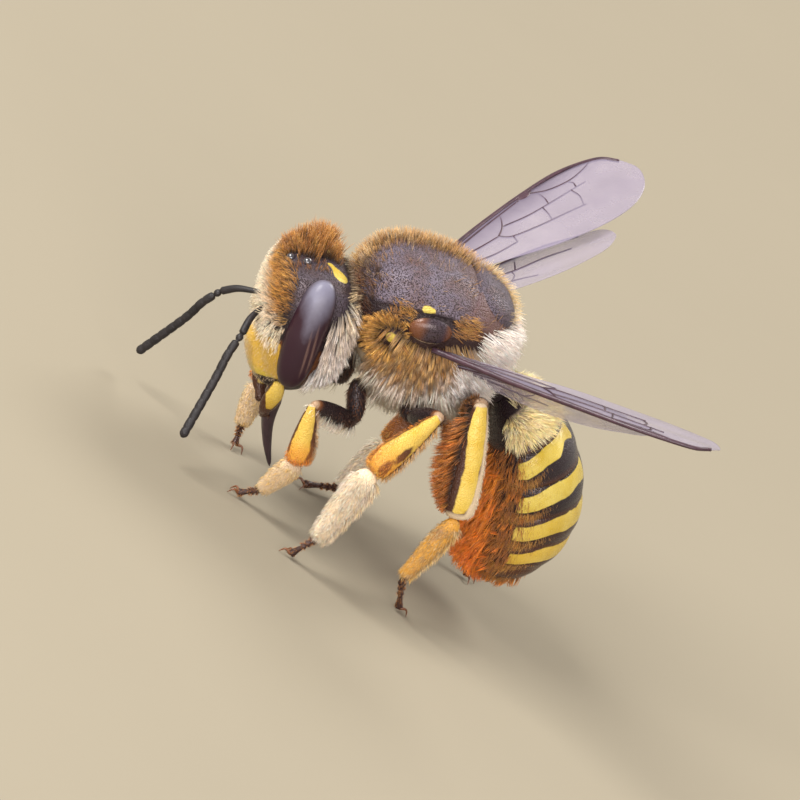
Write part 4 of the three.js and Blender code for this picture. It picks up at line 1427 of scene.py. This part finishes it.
# %% [markdown]
# A hair bends as it goes, so it is three thin rings and a point along a curve; the shortest
# and the densest have two rings. Its colour runs from a darker root to the tip: the dark
# root is painted shade, the shade deep in the coat between the hairs. Its patch of the
# OFBake map sits where its root lies on the shell, unrolled like a globe.

# %% Hair mesh
HAIR_SIDES = 3
BAKE_PATCH = 0.003
ROOT_DEPTH = 0.04
FLOOR_CLEARANCE = 0.000005
DARKEST_ROOT = 0.04
GUIDE_SHARE = 0.6  # how much of its colour a hair takes from its tuft's guide hair
PLAIN_HABIT = {"jitter": 0.16, "per_tuft": 9, "pull": 0.6, "sag": 0.1, "rings": 3, "root_shade": 0.3}


def hair_mesh(roots, normals, tips, sag, radius, rings):
    """Corners and triangles of many hairs: places, how far along each corner is, faces."""
    stops = {2: [0, 0.6], 3: [0, 0.42, 0.78]}[rings]
    count = len(roots)
    start = roots - ROOT_DEPTH * normals
    knee = (start + tips) / 2 + sag
    along = unit(tips - start)
    first = unit(np.cross(along, unit(chance.normal(size=along.shape))))
    second = np.cross(along, first)
    places, shares = [], []
    for stop in stops:
        middle = (1 - stop) ** 2 * start + 2 * stop * (1 - stop) * knee + stop**2 * tips
        size = (radius * (1 - 0.75 * stop**1.5))[:, None]
        for turn in range(HAIR_SIDES):
            angle = math.tau * turn / HAIR_SIDES
            places.append(middle + size * (math.cos(angle) * first + math.sin(angle) * second))
            shares.append(stop)
    places.append(tips)
    shares.append(1.0)
    corners_each = len(places)
    faces = [(0, 2, 1)]
    for ring in range(rings - 1):
        low, high = ring * HAIR_SIDES, (ring + 1) * HAIR_SIDES
        for turn in range(HAIR_SIDES):
            after = (turn + 1) % HAIR_SIDES
            faces += [(low + turn, low + after, high + after), (low + turn, high + after, high + turn)]
    top = (rings - 1) * HAIR_SIDES
    faces += [(top + turn, top + (turn + 1) % HAIR_SIDES, corners_each - 1) for turn in range(HAIR_SIDES)]
    offsets = corners_each * np.arange(count)[:, None, None]
    return np.stack(places, axis=1), np.array(shares), np.array(faces)[None] + offsets


def grow_patch(frame, parts, count, density, flow, lift, length, tone, unroll, **habit):
    """One patch of the coat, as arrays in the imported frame."""
    habit = {**PLAIN_HABIT, **habit}
    roots, normals = pick_roots(*shell_surface(parts, frame), count, density)
    lengths = length(roots) if callable(length) else np.full(count, length)
    lengths = lengths * chance.uniform(0.7, 1.15, count)
    lifts = lift(roots) if callable(lift) else lift
    ways = lean(normals, flow(roots, normals), lifts, habit["jitter"])
    guide = nearest_guides(roots, habit["per_tuft"])
    tips = clump(roots, roots + ways * lengths[:, None], guide, habit["pull"])
    sag = habit["sag"] * lengths[:, None] * normals
    radius = habit["radius"] * chance.uniform(0.75, 1.2, count)
    places, shares, faces = hair_mesh(roots, normals, tips, sag, radius, habit["rings"])
    colours = tone(roots)
    colours = GUIDE_SHARE * colours[guide] + (1 - GUIDE_SHARE) * colours
    colours = np.clip(colours * chance.uniform(0.75, 1.3, (count, 1)), 0, 1)
    # A darker root is painted shade, deep in the coat between the hairs.
    root = habit["root_shade"]
    shade = np.maximum(DARKEST_ROOT, root + (1 - root) * np.minimum(1, 1.35 * shares))
    colours = colours[:, None, :] * shade[None, :, None]
    spread = np.stack((shares - 0.5, (np.arange(len(shares)) % HAIR_SIDES - 1) / 2), axis=1)
    bake = unroll(roots)[:, None, :] + BAKE_PATCH * spread[None]
    places = moved(places.reshape(-1, 3), frame)
    places[:, 2] = np.maximum(places[:, 2], FLOOR_CLEARANCE)
    return places, colours.reshape(-1, 3), bake.reshape(-1, 2), faces.reshape(-1, 3)


def make_coat(name, patches):
    """Join patches of hair into one piece, with its colours and its OFBake map."""
    offset, faces = 0, []
    for places, _, _, patch_faces in patches:
        faces.append(patch_faces + offset)
        offset += len(places)
    points, colours, bake = (np.concatenate([patch[item] for patch in patches]) for item in range(3))
    faces = np.concatenate(faces)
    mesh = bpy.data.meshes.new(name)
    mesh.vertices.add(len(points))
    mesh.vertices.foreach_set("co", points.ravel().astype(np.float32))
    mesh.loops.add(faces.size)
    mesh.loops.foreach_set("vertex_index", faces.ravel().astype(np.int32))
    mesh.polygons.add(len(faces))
    mesh.polygons.foreach_set("loop_start", np.arange(0, faces.size, 3, dtype=np.int32))
    mesh.update(calc_edges=True)
    tint = mesh.color_attributes.new("tint", "BYTE_COLOR", "POINT")
    opaque = np.column_stack((colours, np.ones(len(colours))))
    tint.data.foreach_set("color", opaque.ravel().astype(np.float32))
    layer = mesh.uv_layers.new(name="OFBake")
    layer.data.foreach_set("uv", bake[faces.ravel()].ravel().astype(np.float32))
    new_object(name, mesh, HAIR_MATERIAL)
    print(f"{name}: {len(faces)} triangles")


def make_hair_material():
    material, tree, shader, _, blotches = start_material("hair", 9, 6, Roughness=0.4, Sheen_Weight=0.1)
    value = between(tree, between(tree, blotches, 0.3, 0.7), 0, 1, 0.85, 1.15)
    shades = {"Color": read_attribute(tree, "tint", "Color"), "Value": value}
    faded = add_node(tree, "ShaderNodeHueSaturation", shades).outputs[0]
    tree.links.new(faded, shader.inputs["Base Color"])
    return material


HAIR_MATERIAL = make_hair_material()
print("hair mesh ready")

# %% [markdown]
# Hair colours run from rust on top, through gold, to straw, cream and silver below. The pearl
# is cream hair tinted pink with painted light: the pink light bounced up from below.

# %% Hair colours and unrolled shells
RUST, FOX, GOLD = np.array([(0.32, 0.1, 0.018), (0.55, 0.23, 0.038), (0.88, 0.5, 0.1)])
STRAW, CREAM, SILVER = np.array([(0.9, 0.67, 0.38), (1.0, 0.83, 0.66), (1.0, 0.87, 0.83)])
# The pearl's pink tint is painted light bounced up from below.
UMBER, BUTTER, PINK_LIT_PEARL = np.array([(0.07, 0.03, 0.014), (1.0, 0.75, 0.3), (1.0, 0.84, 0.72)])
ORANGE, EMBER = np.array([(1.0, 0.3, 0.014), (0.95, 0.2, 0.01)])
MARGIN = 0.01  # what an unrolled shell leaves free round its map


def mixed(*tones):
    """A tone rule that gives each hair one of some colours, blended by chance."""

    def tone(points):
        share = chance.random((len(points), len(tones))) ** 2
        return (share / share.sum(axis=1, keepdims=True)) @ np.array(tones)

    return tone


def graded(low_tone, high_tone, way, low, high):
    """A tone rule that goes from one to another along a way, or a measure, a bit unevenly."""

    def tone(points):
        far = way(points) if callable(way) else points @ way
        uneven = far + 0.12 * chance.normal(size=len(points))
        share = soft_step(uneven, low, high)[:, None]
        return low_tone(points) * (1 - share) + high_tone(points) * share

    return tone


def unroll_ball(middle):
    def unroll(points):
        away = unit(points - middle)
        around = np.arctan2(away[:, 1], -away[:, 0]) / math.tau + 0.5
        down = np.arccos(np.clip(away[:, 2], -1, 1)) / math.pi
        return MARGIN + (1 - 2 * MARGIN) * np.stack((around, down), axis=1)

    return unroll


def unroll_abdomen(points):
    number, angle = ring_coordinates(points)
    around = 0.5 + np.sign(points[:, 1]) * angle / math.tau
    return MARGIN + (1 - 2 * MARGIN) * np.stack((around, number / 7.3), axis=1)


unroll_head, unroll_thorax = unroll_ball(HEAD_MIDDLE), unroll_ball(np.zeros(3))
print("tones and unrolled shells ready")

# %% [markdown]
# Most patches end at soft edges: somewhere along an axis, or along another measure, the hair
# goes from none to full. So a patch is written as a list of such edges, and its density is
# their product. An edge whose two numbers are the same is a sharp one. A lie says which way
# the hairs point, either steadily or by a rule.

# %% Edges and lies
X, Z = 0, 2
NUMBER, ANGLE = 0, 1


def edged(edges, axes_of=lambda points, normals: points.T):
    """A density from edges: what is measured, where there is no hair and where it is full."""

    def density(points, normals):
        axes = axes_of(points, normals)
        share = np.ones(len(points))
        for measure, bare, full in edges:
            value = measure(points) if callable(measure) else axes[measure]
            share = share * (value > bare if bare == full else soft_step(value, bare, full))
        return share

    return density


def ring_edged(edges):
    return edged(edges, lambda points, normals: ring_coordinates(points))


def off_middle(points):
    return np.abs(points[:, 1])


def steady(*way):
    return lambda points, normals: np.broadcast_to(np.array(way, float), points.shape)


def outward(strength, *way):
    """A lie that fans out sideways from the middle line, with a steady pull."""
    return lambda points, normals: np.sign(points[:, 1])[:, None] * (0, strength, 0) + np.array(way)


def trunk_coat(name, unroll, rows):
    """A coat on the trunk. A row is one patch: shells, count, density, lie, lift, length,
    tone and the hairs' habit."""
    make_coat(name, [grow_patch(TRUNK, *row[:-1], unroll, **row[-1]) for row in rows])


print("edges and lies ready")

# %% [markdown]
# ### Head
#
# The crown carries an upright rust-brown tuft, but the shell behind the top of each eye is
# bare. Cream hair fills the space round the feelers' roots, a beard of long straw and
# silver hair covers the cheeks behind the eyes and sweeps down to the jaws, and the clypeus
# has only short sparse hair.


# %% Head coat
def eye_gap(points):
    """How far a point is outside the nearer eye, in shares of the eye's size."""
    return np.linalg.norm((leftless(points) - EYE_MIDDLE) / EYE_HALF, axis=1) - 1


def ocellus_gap(points):
    """How far a point is from the nearest simple eye."""
    seats = [on_head(target)[0] for target in OCELLI.values()]
    return np.min([np.linalg.norm(points - seat, axis=1) for seat in seats], axis=0)


def crown_density(points, normals):
    x, y, _ = points.T
    behind = np.maximum(soft_step(y, -0.3, 0.3), soft_step(x, -3.3, -3.1) * (y > -0.75))
    clear = spot_line(points)[1] > np.where(y < 0, 0.3, 0.12)
    clear = clear * (ocellus_gap(points) > np.where(y < 0, 0.2, 0.12))
    return CROWN_EDGES(points, normals) * clear * np.maximum(behind, 0.1)


def under_cheek_line(points):
    return 0.35 + 0.35 * soft_step(points[:, 0], -2.9, -2.5) - points[:, 2]


def crown_length(points):
    high = hill(points * (1, 1, 0), np.array((-3.35, 0.55, 0)), np.array((1.05, 1.5, 1)))
    return 0.14 + 0.12 * soft_step(points[:, 1], -0.1, 0.3) + 0.56 * high


def brow_length(points):
    return 0.36 - 0.16 * soft_step(points[:, 1], 0.0, 0.7)


def cheek_lift(points):
    return 0.2 + 0.15 * soft_step(points[:, 0], -2.9, -2.4)


CROWN_EDGES = edged([(Z, 0.4, 0.6), (off_middle, 1.05, 0.75), (X, -4.3, -4.0), (X, -2.8, -2.95)])
BROW = [(X, -3.9, -4.1), (Z, -0.7, -0.3), (Z, 0.95, 0.7), (ocellus_gap, 0.17, 0.17), (eye_gap, 0.05, 0.05)]
FEELER_ROOTS = [(X, -3.8, -4.0), (Z, -1.25, -0.9), (Z, -0.25, -0.55), (eye_gap, 0.12, 0.12)]
CLYPEUS = [(X, -3.4, -3.6), (Z, -2.6, -2.5), (Z, -1.1, -1.4), (eye_gap, 0.1, 0.1)]
CHEEKS = [(X, -3.2, -3.0), (under_cheek_line, 0, 0.3), (Z, -1.75, -1.45), (eye_gap, 0.12, 0.12)]
NAPE = [(X, -2.75, -2.5), (Z, -0.2, 0.2), (Z, 0.95, 0.75)]
head = ["head"]
crown_tone = mixed(FOX, RUST, RUST, UMBER, GOLD, RUST)
brow_tone = graded(mixed(CREAM, STRAW, CREAM), mixed(FOX, GOLD, RUST, FOX), (0, -0.35, 1), -0.1, 0.5)
cheek_tone = graded(mixed(SILVER, PINK_LIT_PEARL, SILVER), mixed(STRAW, CREAM, SILVER, UMBER), (0, 0, 1), -1.4, 0.4)
trunk_coat("coat_head_front", unroll_head, [
    (head, 2300, crown_density, steady(0.1, 0, 1), 0.9, crown_length, crown_tone,
     dict(radius=0.0078, jitter=0.2, pull=0.45, per_tuft=5, root_shade=-0.3)),
    (head, 2700, edged(BROW), steady(-1, 0, 0.3), 0.7, brow_length, brow_tone,
     dict(radius=0.0072, jitter=0.25, pull=0.35, root_shade=-0.25)),
    (head, 1300, edged(FEELER_ROOTS), outward(0.5, -0.4, 0, -1), 0.35, 0.28, mixed(CREAM, CREAM, STRAW),
     dict(radius=0.0075, pull=0.4)),
    (head, 1500, edged(CLYPEUS), steady(-0.2, 0, -1), 0.14, 0.15, mixed(CREAM, STRAW, GOLD),
     dict(radius=0.005, rings=2, pull=0.1)),
    (head, 600, edged(NAPE), steady(0.6, 0, 0.3), 0.6, 0.35, mixed(UMBER, UMBER, STRAW),
     dict(radius=0.008)),
])  # fmt: skip
trunk_coat("coat_head_cheeks", unroll_head, [
    (head, 6500, edged(CHEEKS), steady(-0.2, 0, -1), cheek_lift, 0.66, cheek_tone,
     dict(radius=0.0112, jitter=0.1, per_tuft=8, pull=0.62, root_shade=-0.2)),
])  # fmt: skip

# %% [markdown]
# ### Thorax
#
# Upright rust hair stands very thinly over the left of the roof, which is a grey dome with a
# golden halo, and more thickly in a crest along its right. Below the wings the coat is
# dense and fans out from the wing root in pointed tufts: gold, then straw, then silver
# towards the breast. A strip of black shell behind the head stays bare. The rear is silver.


# %% Thorax coat
def roof_density(points, normals):
    x, y, z = points.T
    crest = soft_step(y, -0.1, 0.5) * (1 - 0.75 * soft_step(y, 0.8, 1.3))
    crest *= 1 - 0.5 * soft_step(x, 0.4, 1.0)
    edge = np.where(y < 0, 0.25, 0.7) * soft_step(-1.4 - x, 0, 0.5) + crest
    return soft_step(z - cap_rim(x), 0.02, 0.15) * np.clip(0.03 + 0.97 * edge, 0, 1)


def rim_density(points, normals):
    return np.maximum(edged(RIM_BEHIND)(points, normals), edged(RIM_BEFORE)(points, normals))


def shield_edge_density(points, normals):
    x, y, z = points.T
    right = soft_step(y, 0.0, 0.5) * soft_step(x, 1.0, 1.4)
    return np.maximum(0.5 * soft_step(x, 1.7, 1.95), right) * soft_step(z, 0.1, 0.5)


def lobe_gap(points):
    return np.hypot(points[:, 0] - LOBE_MIDDLE[0], points[:, 2] - LOBE_MIDDLE[2])


def side_density(points, normals):
    x, _, z = points.T
    below_cap = 1 - soft_step(0.47 - np.hypot((x + 0.4) / 1.5, z - 0.55), 0, 0.1)
    return edged(SIDES_BELOW_WINGS)(points, normals) * below_cap


def underside_density(points, normals):
    return side_density(points, normals) * soft_step(-0.7 - points[:, 2], 0, 0.4)


def tuft_distance(points):
    return np.hypot((points[:, 0] + 1.4) / 0.38, points[:, 2] / 0.48)


def round_lobe(points, normals):
    """The tuft in front of the wing spreads like a star round the yellow lobe."""
    away = unit(leftless(points) - (LOBE_MIDDLE + (0.05, 0, 0.04)))
    away[:, 1] *= np.sign(points[:, 1])
    return away + (-0.15, 0, 0)


def side_lie(points, normals):
    """The lie below the wing: forwards in front, straight down, then rearwards behind."""
    x, y, z = points.T
    turn = np.interp(x, [-1.5, -0.5, 0.5, 1.6], [-0.6, -0.05, 0.5, 0.85])
    turn = turn * (1 - 0.25 * soft_step(-z, 0.4, 1.6))
    return np.stack((turn, 0.12 * np.sign(y), -np.sqrt(1 - turn**2)), axis=1)


def side_length(points):
    return 0.72 + 0.45 * soft_step(-points[:, 2], 0.5, 1.3) + 0.1 * soft_step(points[:, 0], 0.3, 0.9)


def side_height(points):
    return points[:, 2] - 1.2 * np.maximum(points[:, 0] + 0.1, 0)


def roof_length(points):
    return 0.2 + 0.16 * soft_step(points[:, 1], 0.1, 0.8)


RIM_HEIGHT = [(Z, 0.5, 0.65), (Z, 1.15, 0.95)]
RIM_BEHIND = [(X, 0.0, 0.3), (X, 1.0, 0.6), *RIM_HEIGHT]
RIM_BEFORE = [(X, -0.9, -1.1), (X, -1.6, -1.4), *RIM_HEIGHT]
COLLAR = [(X, -1.8, -2.0), (Z, 0.1, 0.4), (Z, 1.5, 1.2)]
TUFT = [(tuft_distance, 1.2, 0.8), (off_middle, 1, 1), (lobe_gap, 0.24, 0.24)]
SIDE_ENDS = [(X, 1.5, 1.1), (X, -1.55, -1.35)]
SIDES_BELOW_WINGS = [(off_middle, 0.5, 0.9), (Z, 0.5, 0.2), *SIDE_ENDS, (lobe_gap, 0.3, 0.3)]
BREAST = [(Z, -1.2, -1.6), (off_middle, 1.3, 0.9), (X, -1.1, -0.8)]
FLANKS = [(X, 0.25, 0.6), (X, 1.7, 1.4), (Z, -1.6, -1.3), (Z, 0.2, -0.1), (off_middle, 0.9, 0.9)]
REAR = [(X, 0.8, 1.2), (Z, 0.9, 0.5), (Z, -1.6, -1.2)]
low_tone, high_tone = mixed(SILVER, CREAM, SILVER, STRAW), mixed(GOLD, STRAW, FOX, RUST)
side_tone = graded(low_tone, high_tone, side_height, -1.3, -0.5)
roof_tone = mixed(FOX, GOLD, RUST, STRAW, UMBER)
collar_tone = graded(mixed(*[UMBER] * 4, RUST), mixed(CREAM, STRAW, GOLD), (0, 0.6, 1), 0.9, 1.6)
thorax = ["thorax"]
trunk_coat("coat_thorax_roof", unroll_thorax, [
    (thorax, 3000, roof_density, steady(0.6, 0, 0.3), 0.92, roof_length, roof_tone,
     dict(radius=0.006, pull=0.3, jitter=0.2, root_shade=-0.1)),
    (thorax, 1000, rim_density, steady(1, 0, -0.3), 0.35, 0.26, mixed(GOLD, FOX, RUST, UMBER),
     dict(radius=0.0075, jitter=0.2, pull=0.3)),
    (thorax, 1000, edged(COLLAR), steady(-0.4, 0, 1), 0.6, 0.28, collar_tone, dict(radius=0.008, pull=0.4)),
    (["scutellum"], 420, shield_edge_density, steady(1, 0, 0.1), 0.6, 0.34, mixed(STRAW, GOLD, STRAW),
     dict(radius=0.006, jitter=0.2, pull=0.3)),
    (thorax, 2600, edged(TUFT), round_lobe, 0.45, 0.46, mixed(FOX, GOLD, RUST, UMBER, GOLD),
     dict(radius=0.009, jitter=0.13, pull=0.65, per_tuft=7, root_shade=0.12)),
])  # fmt: skip
trunk_coat("coat_thorax_sides", unroll_thorax, [
    (thorax, 15500, side_density, side_lie, 0.18, side_length, side_tone,
     dict(radius=0.0118, jitter=0.09, per_tuft=8, pull=0.65, rings=2, root_shade=-0.1)),
    (thorax, 3000, underside_density, side_lie, 0.3, 1.1, mixed(PINK_LIT_PEARL, PINK_LIT_PEARL, CREAM),
     dict(radius=0.0125, jitter=0.12, pull=0.6, rings=2, root_shade=0.45)),
])  # fmt: skip
trunk_coat("coat_thorax_rear", unroll_thorax, [
    (thorax, 5000, edged(BREAST), steady(0, 0, -1), 0.35, 0.9, mixed(SILVER, CREAM, STRAW),
     dict(radius=0.012, pull=0.6, root_shade=0.3)),
    (thorax, 3200, edged(FLANKS), steady(0.85, 0, -0.55), 0.42, 0.62, mixed(SILVER, SILVER, PINK_LIT_PEARL),
     dict(radius=0.0125, pull=0.5, rings=2, root_shade=0.8)),
    (thorax, 5200, edged(REAR), steady(0.9, 0, -0.5), 0.42, 0.56, mixed(CREAM, SILVER, SILVER, PINK_LIT_PEARL),
     dict(radius=0.0105, pull=0.4, root_shade=0.5)),
])  # fmt: skip

# %% [markdown]
# ### Abdomen
#
# Butter-coloured hair covers the front of the abdomen and fans out over the second plate.
# The bands carry only a short sparse nap, longer and golden at their outer ends. Underneath
# is the scopa, the dense orange brush in which this bee carries its pollen.


# %% Abdomen coat
def tailward(points, normals):
    """The lie of the coat along the abdomen, from the waist to the tip."""
    number, _ = ring_coordinates(points)
    row = np.clip((number * RING_STEPS).astype(int), 0, len(RING_LINE) - 2)
    step = (RING_LINE[row + 1] - RING_LINE[row])[:, :4]
    return unit(np.stack((step[:, 0] + step[:, 2], 0 * number, step[:, 1] + step[:, 3]), axis=1))


def waist_density(points, normals):
    number, angle = ring_coordinates(points)
    behind = soft_step(number - waist_edge(angle), 0, 0.25)
    return soft_step(1.5 - number, 0, 0.15) * behind * soft_step(2.1 - angle, 0, 0.3)


def nap_density(points, normals):
    number, angle = ring_coordinates(points)
    behind_band = np.zeros(len(points))
    for start, end, (_, last, *_) in zip(ABDOMEN_CUTS[1:], ABDOMEN_CUTS[2:], BANDS[1:]):
        way = (number - start) / (end - start) - band_slant(angle)
        behind_band += soft_step(way, last - 0.1, last) * soft_step(last + 0.2 - way, 0, 0.1)
    sides = soft_step(2.3 - angle, 0, 0.4) * soft_step(angle, 1.1, 1.75)
    return soft_step(number, 1.8, 2.0) * sides * (0.06 + behind_band)


def nap_length(points):
    return 0.12 + 0.22 * soft_step(ring_coordinates(points)[ANGLE], 1.2, 1.75)


WAIST_FRONT = [(NUMBER, 0.7, 0.5), (ANGLE, 1.3, 0.9)]
FRINGE = [(ANGLE, 1.72, 1.95), (ANGLE, 2.5, 2.2), (NUMBER, 1.6, 1.9)]
SCOPA = [(ANGLE, 2.25, 2.5), (NUMBER, 1.6, 2.2), (NUMBER, 7.0, 6.6)]
TIP = [(NUMBER, 6.2, 6.6)]
plates = [f"abdomen_{number}" for number in range(1, 7)]
butter_tone = mixed(BUTTER, CREAM, BUTTER)
scopa_tone = graded(mixed(ORANGE, EMBER, ORANGE, FOX), mixed(EMBER, ORANGE, EMBER), (0, 0, -1), 4.4, 5.8)
trunk_coat("coat_abdomen", unroll_abdomen, [
    (plates[:2], 6600, waist_density, tailward, 0.34, 0.48, butter_tone,
     dict(radius=0.011, jitter=0.1, pull=0.3, rings=2, root_shade=0.8)),
    (plates[:1], 700, ring_edged(WAIST_FRONT), steady(-1, 0, 0.5), 0.5, 0.42, butter_tone,
     dict(radius=0.011, jitter=0.15, pull=0.3, rings=2, root_shade=0.6)),
    (plates[1:], 4200, nap_density, tailward, 0.2, nap_length, mixed(GOLD, FOX, RUST),
     dict(radius=0.0048, rings=2, pull=0.05, jitter=0.1)),
    (plates, 3400, ring_edged(FRINGE), tailward, 0.3, 0.32, mixed(ORANGE, FOX, RUST, UMBER, RUST),
     dict(radius=0.0085, pull=0.4)),
])  # fmt: skip
trunk_coat("coat_scopa", unroll_abdomen, [
    (plates, 11000, ring_edged(SCOPA), tailward, 0.36, 0.6, scopa_tone,
     dict(radius=0.0125, jitter=0.1, pull=0.6, root_shade=0.5)),
    (plates[5:], 900, ring_edged(TIP), tailward, 0.4, 0.3, mixed(RUST, FOX, ORANGE), dict(radius=0.012)),
])  # fmt: skip

# %% [markdown]
# ### Legs
#
# A row of the table is one patch: which segment, on which legs, how many hairs, on which
# side, how far they stand off, how long and thick they are, and their colours. Thighs carry
# a fringe below, the middle and hind shins a brush in front, and the flat first foot joint
# of the middle legs is so densely covered that it looks cream all over. Each row is one
# tile of its coat's OFBake map.

# %% Leg coats
LEG_TILES = (4, 5)
LEG_ROWS = [
    ("coxa", "front middle", 400, "all", 0.25, 0.17, 0.008, mixed(UMBER, UMBER, RUST)),
    ("femur", "front", 420, "below", 0.45, 0.34, 0.009, mixed(CREAM, STRAW, SILVER)),
    ("femur", "front middle", 300, "rear", 0.35, 0.17, 0.007, mixed(UMBER, UMBER, RUST)),
    ("femur", "hind", 360, "front", 0.4, 0.22, 0.009, mixed(FOX, RUST, UMBER)),
    ("tibia", "front", 420, "rear", 0.4, 0.17, 0.007, mixed(RUST, FOX, STRAW)),
    ("tibia", "front", 500, "ankle", 0.35, 0.18, 0.008, mixed(FOX, ORANGE, ORANGE)),
    ("tibia", "middle", 400, "front", 0.35, 0.13, 0.006, mixed(FOX, ORANGE, RUST)),
    ("tibia", "middle", 420, "ankle", 0.35, 0.16, 0.007, mixed(GOLD, ORANGE, GOLD)),
    ("tibia", "middle", 520, "rear", 0.45, 0.26, 0.007, mixed(GOLD, FOX, RUST, STRAW)),
    ("tibia", "hind", 1500, "edge", 0.7, 0.57, 0.0105, mixed(EMBER, FOX, FOX, RUST, UMBER)),
    ("tibia", "hind", 420, "rear", 0.3, 0.13, 0.006, mixed(CREAM, STRAW, PINK_LIT_PEARL)),
    ("basitarsus", "front", 1100, "all", 0.2, 0.18, 0.008, mixed(GOLD, STRAW, STRAW)),
    ("basitarsus", "middle", 2600, "all", 0.22, 0.27, 0.009, mixed(CREAM, STRAW, PINK_LIT_PEARL, PINK_LIT_PEARL)),
    ("basitarsus", "middle", 900, "rear", 0.35, 0.33, 0.0085, mixed(CREAM, STRAW, GOLD, PINK_LIT_PEARL)),
    ("basitarsus", "hind", 1300, "all", 0.22, 0.2, 0.0085, mixed(STRAW, GOLD, GOLD, UMBER)),
    ("basitarsus", "hind", 500, "rear", 0.42, 0.26, 0.0075, mixed(GOLD, STRAW)),
    ("tarsus", "front middle hind", 60, "all", 0.3, 0.1, 0.008, mixed(FOX, RUST)),
]
ALONG, REARWARD, DOWNWARD = range(3)
LEG_ZONES = {
    "all": [(ALONG, 0.03, 0.12)],
    "ankle": [(ALONG, 0.72, 0.95)],
    "below": [(DOWNWARD, -0.1, 0.4)],
    "front": [(ALONG, 0.03, 0.12), (REARWARD, -0.4, -0.7)],
    "edge": [(ALONG, 0.04, 0.35), (REARWARD, -0.62, -0.8)],
    "rear": [(ALONG, 0.03, 0.12), (REARWARD, 0.45, 0.75)],
}
SHORT_HAIR = 0.28  # shorter hairs have two rings


def leg_length(zone, length, limb):
    """Hairs shorten towards the foot; the brush on the hind shin is longest halfway."""

    def taper(points):
        way = points[:, 2] / limb
        share = np.sin(math.pi * (0.13 + 0.84 * way)) if zone == "edge" else 1 - 0.3 * way
        return 1.15 * length * share

    return taper


def unroll_limb(length, tile):
    corner = np.array((tile % LEG_TILES[0], tile // LEG_TILES[0]))

    def unroll(points):
        around = np.arctan2(points[:, 1], points[:, 0]) / math.tau + 0.5
        flat = np.stack((around, np.clip(points[:, 2] / length, 0, 1)), axis=1)
        return (corner + 0.04 + 0.92 * flat) / LEG_TILES

    return unroll


def limb_patch(name, side, row, tile):
    """One patch on one rod of a leg, in that rod's own frame."""
    _, _, count, zone, lift, length, radius, tone = row
    place = skin_parts[name]["place"]
    limb = skin_parts[name]["points"][:, 2].max()
    _, rearward, down = limb_ways(place, side)

    def axes(points, normals):
        return points[:, 2] / limb, normals @ rearward, normals @ down

    flow = steady(*(np.array((0, 0, 0.6)) + down)) if zone == "below" else steady(0, 0, 1)
    habit = dict(radius=radius, rings=2 if length < SHORT_HAIR else 3, jitter=0.1)
    habit.update(dict(pull=0.45, root_shade=-0.05) if zone == "edge" else dict(pull=0.12, root_shade=0.3))
    taper = leg_length(zone, length, limb)
    density = edged(LEG_ZONES[zone], axes)
    unroll = unroll_limb(limb, tile)
    return grow_patch(place, [name], count, density, flow, lift, taper, tone, unroll, **habit)


def leg_patches(leg):
    pair, side_name = leg.split("_")
    patches = []
    for tile, row in enumerate(LEG_ROWS):
        if pair in row[1]:
            joints = [f"_{number}" for number in range(1, 5)] if row[0] == "tarsus" else [""]
            names = [f"{leg}_{row[0]}{joint}" for joint in joints]
            patches += [limb_patch(name, SIDES[side_name], row, tile) for name in names]
    return patches


for leg in LEGS:
    make_coat(f"coat_leg_{leg}", leg_patches(leg))
print("coats on six legs")

# %% [markdown]
# ## Floor and finish
#
# A plain pale floor, large enough to fill the view, carries the feet.

# %% Floor
FLOOR_RADIUS = 0.6
FLOOR_COLOUR = np.array((0.27, 0.236, 0.172))


def make_floor():
    bm = bmesh.new()
    bmesh.ops.create_circle(bm, cap_ends=True, segments=64, radius=FLOOR_RADIUS)
    mesh = bpy.data.meshes.new("floor")
    bm.to_mesh(mesh)
    bm.free()
    material, tree, shader, _, blotches = start_material("plain floor", 2.0, 0.05, Roughness=0.9)
    shade = blend_colours(tree, between(tree, blotches, 0.3, 0.7), FLOOR_COLOUR, 1.03 * FLOOR_COLOUR)
    tree.links.new(shade, shader.inputs["Base Color"])
    mesh.materials.append(material)
    ground = bpy.data.objects.new("floor", mesh)
    scene.collection.objects.link(ground)


make_floor()
print("floor radius", FLOOR_RADIUS, "m")
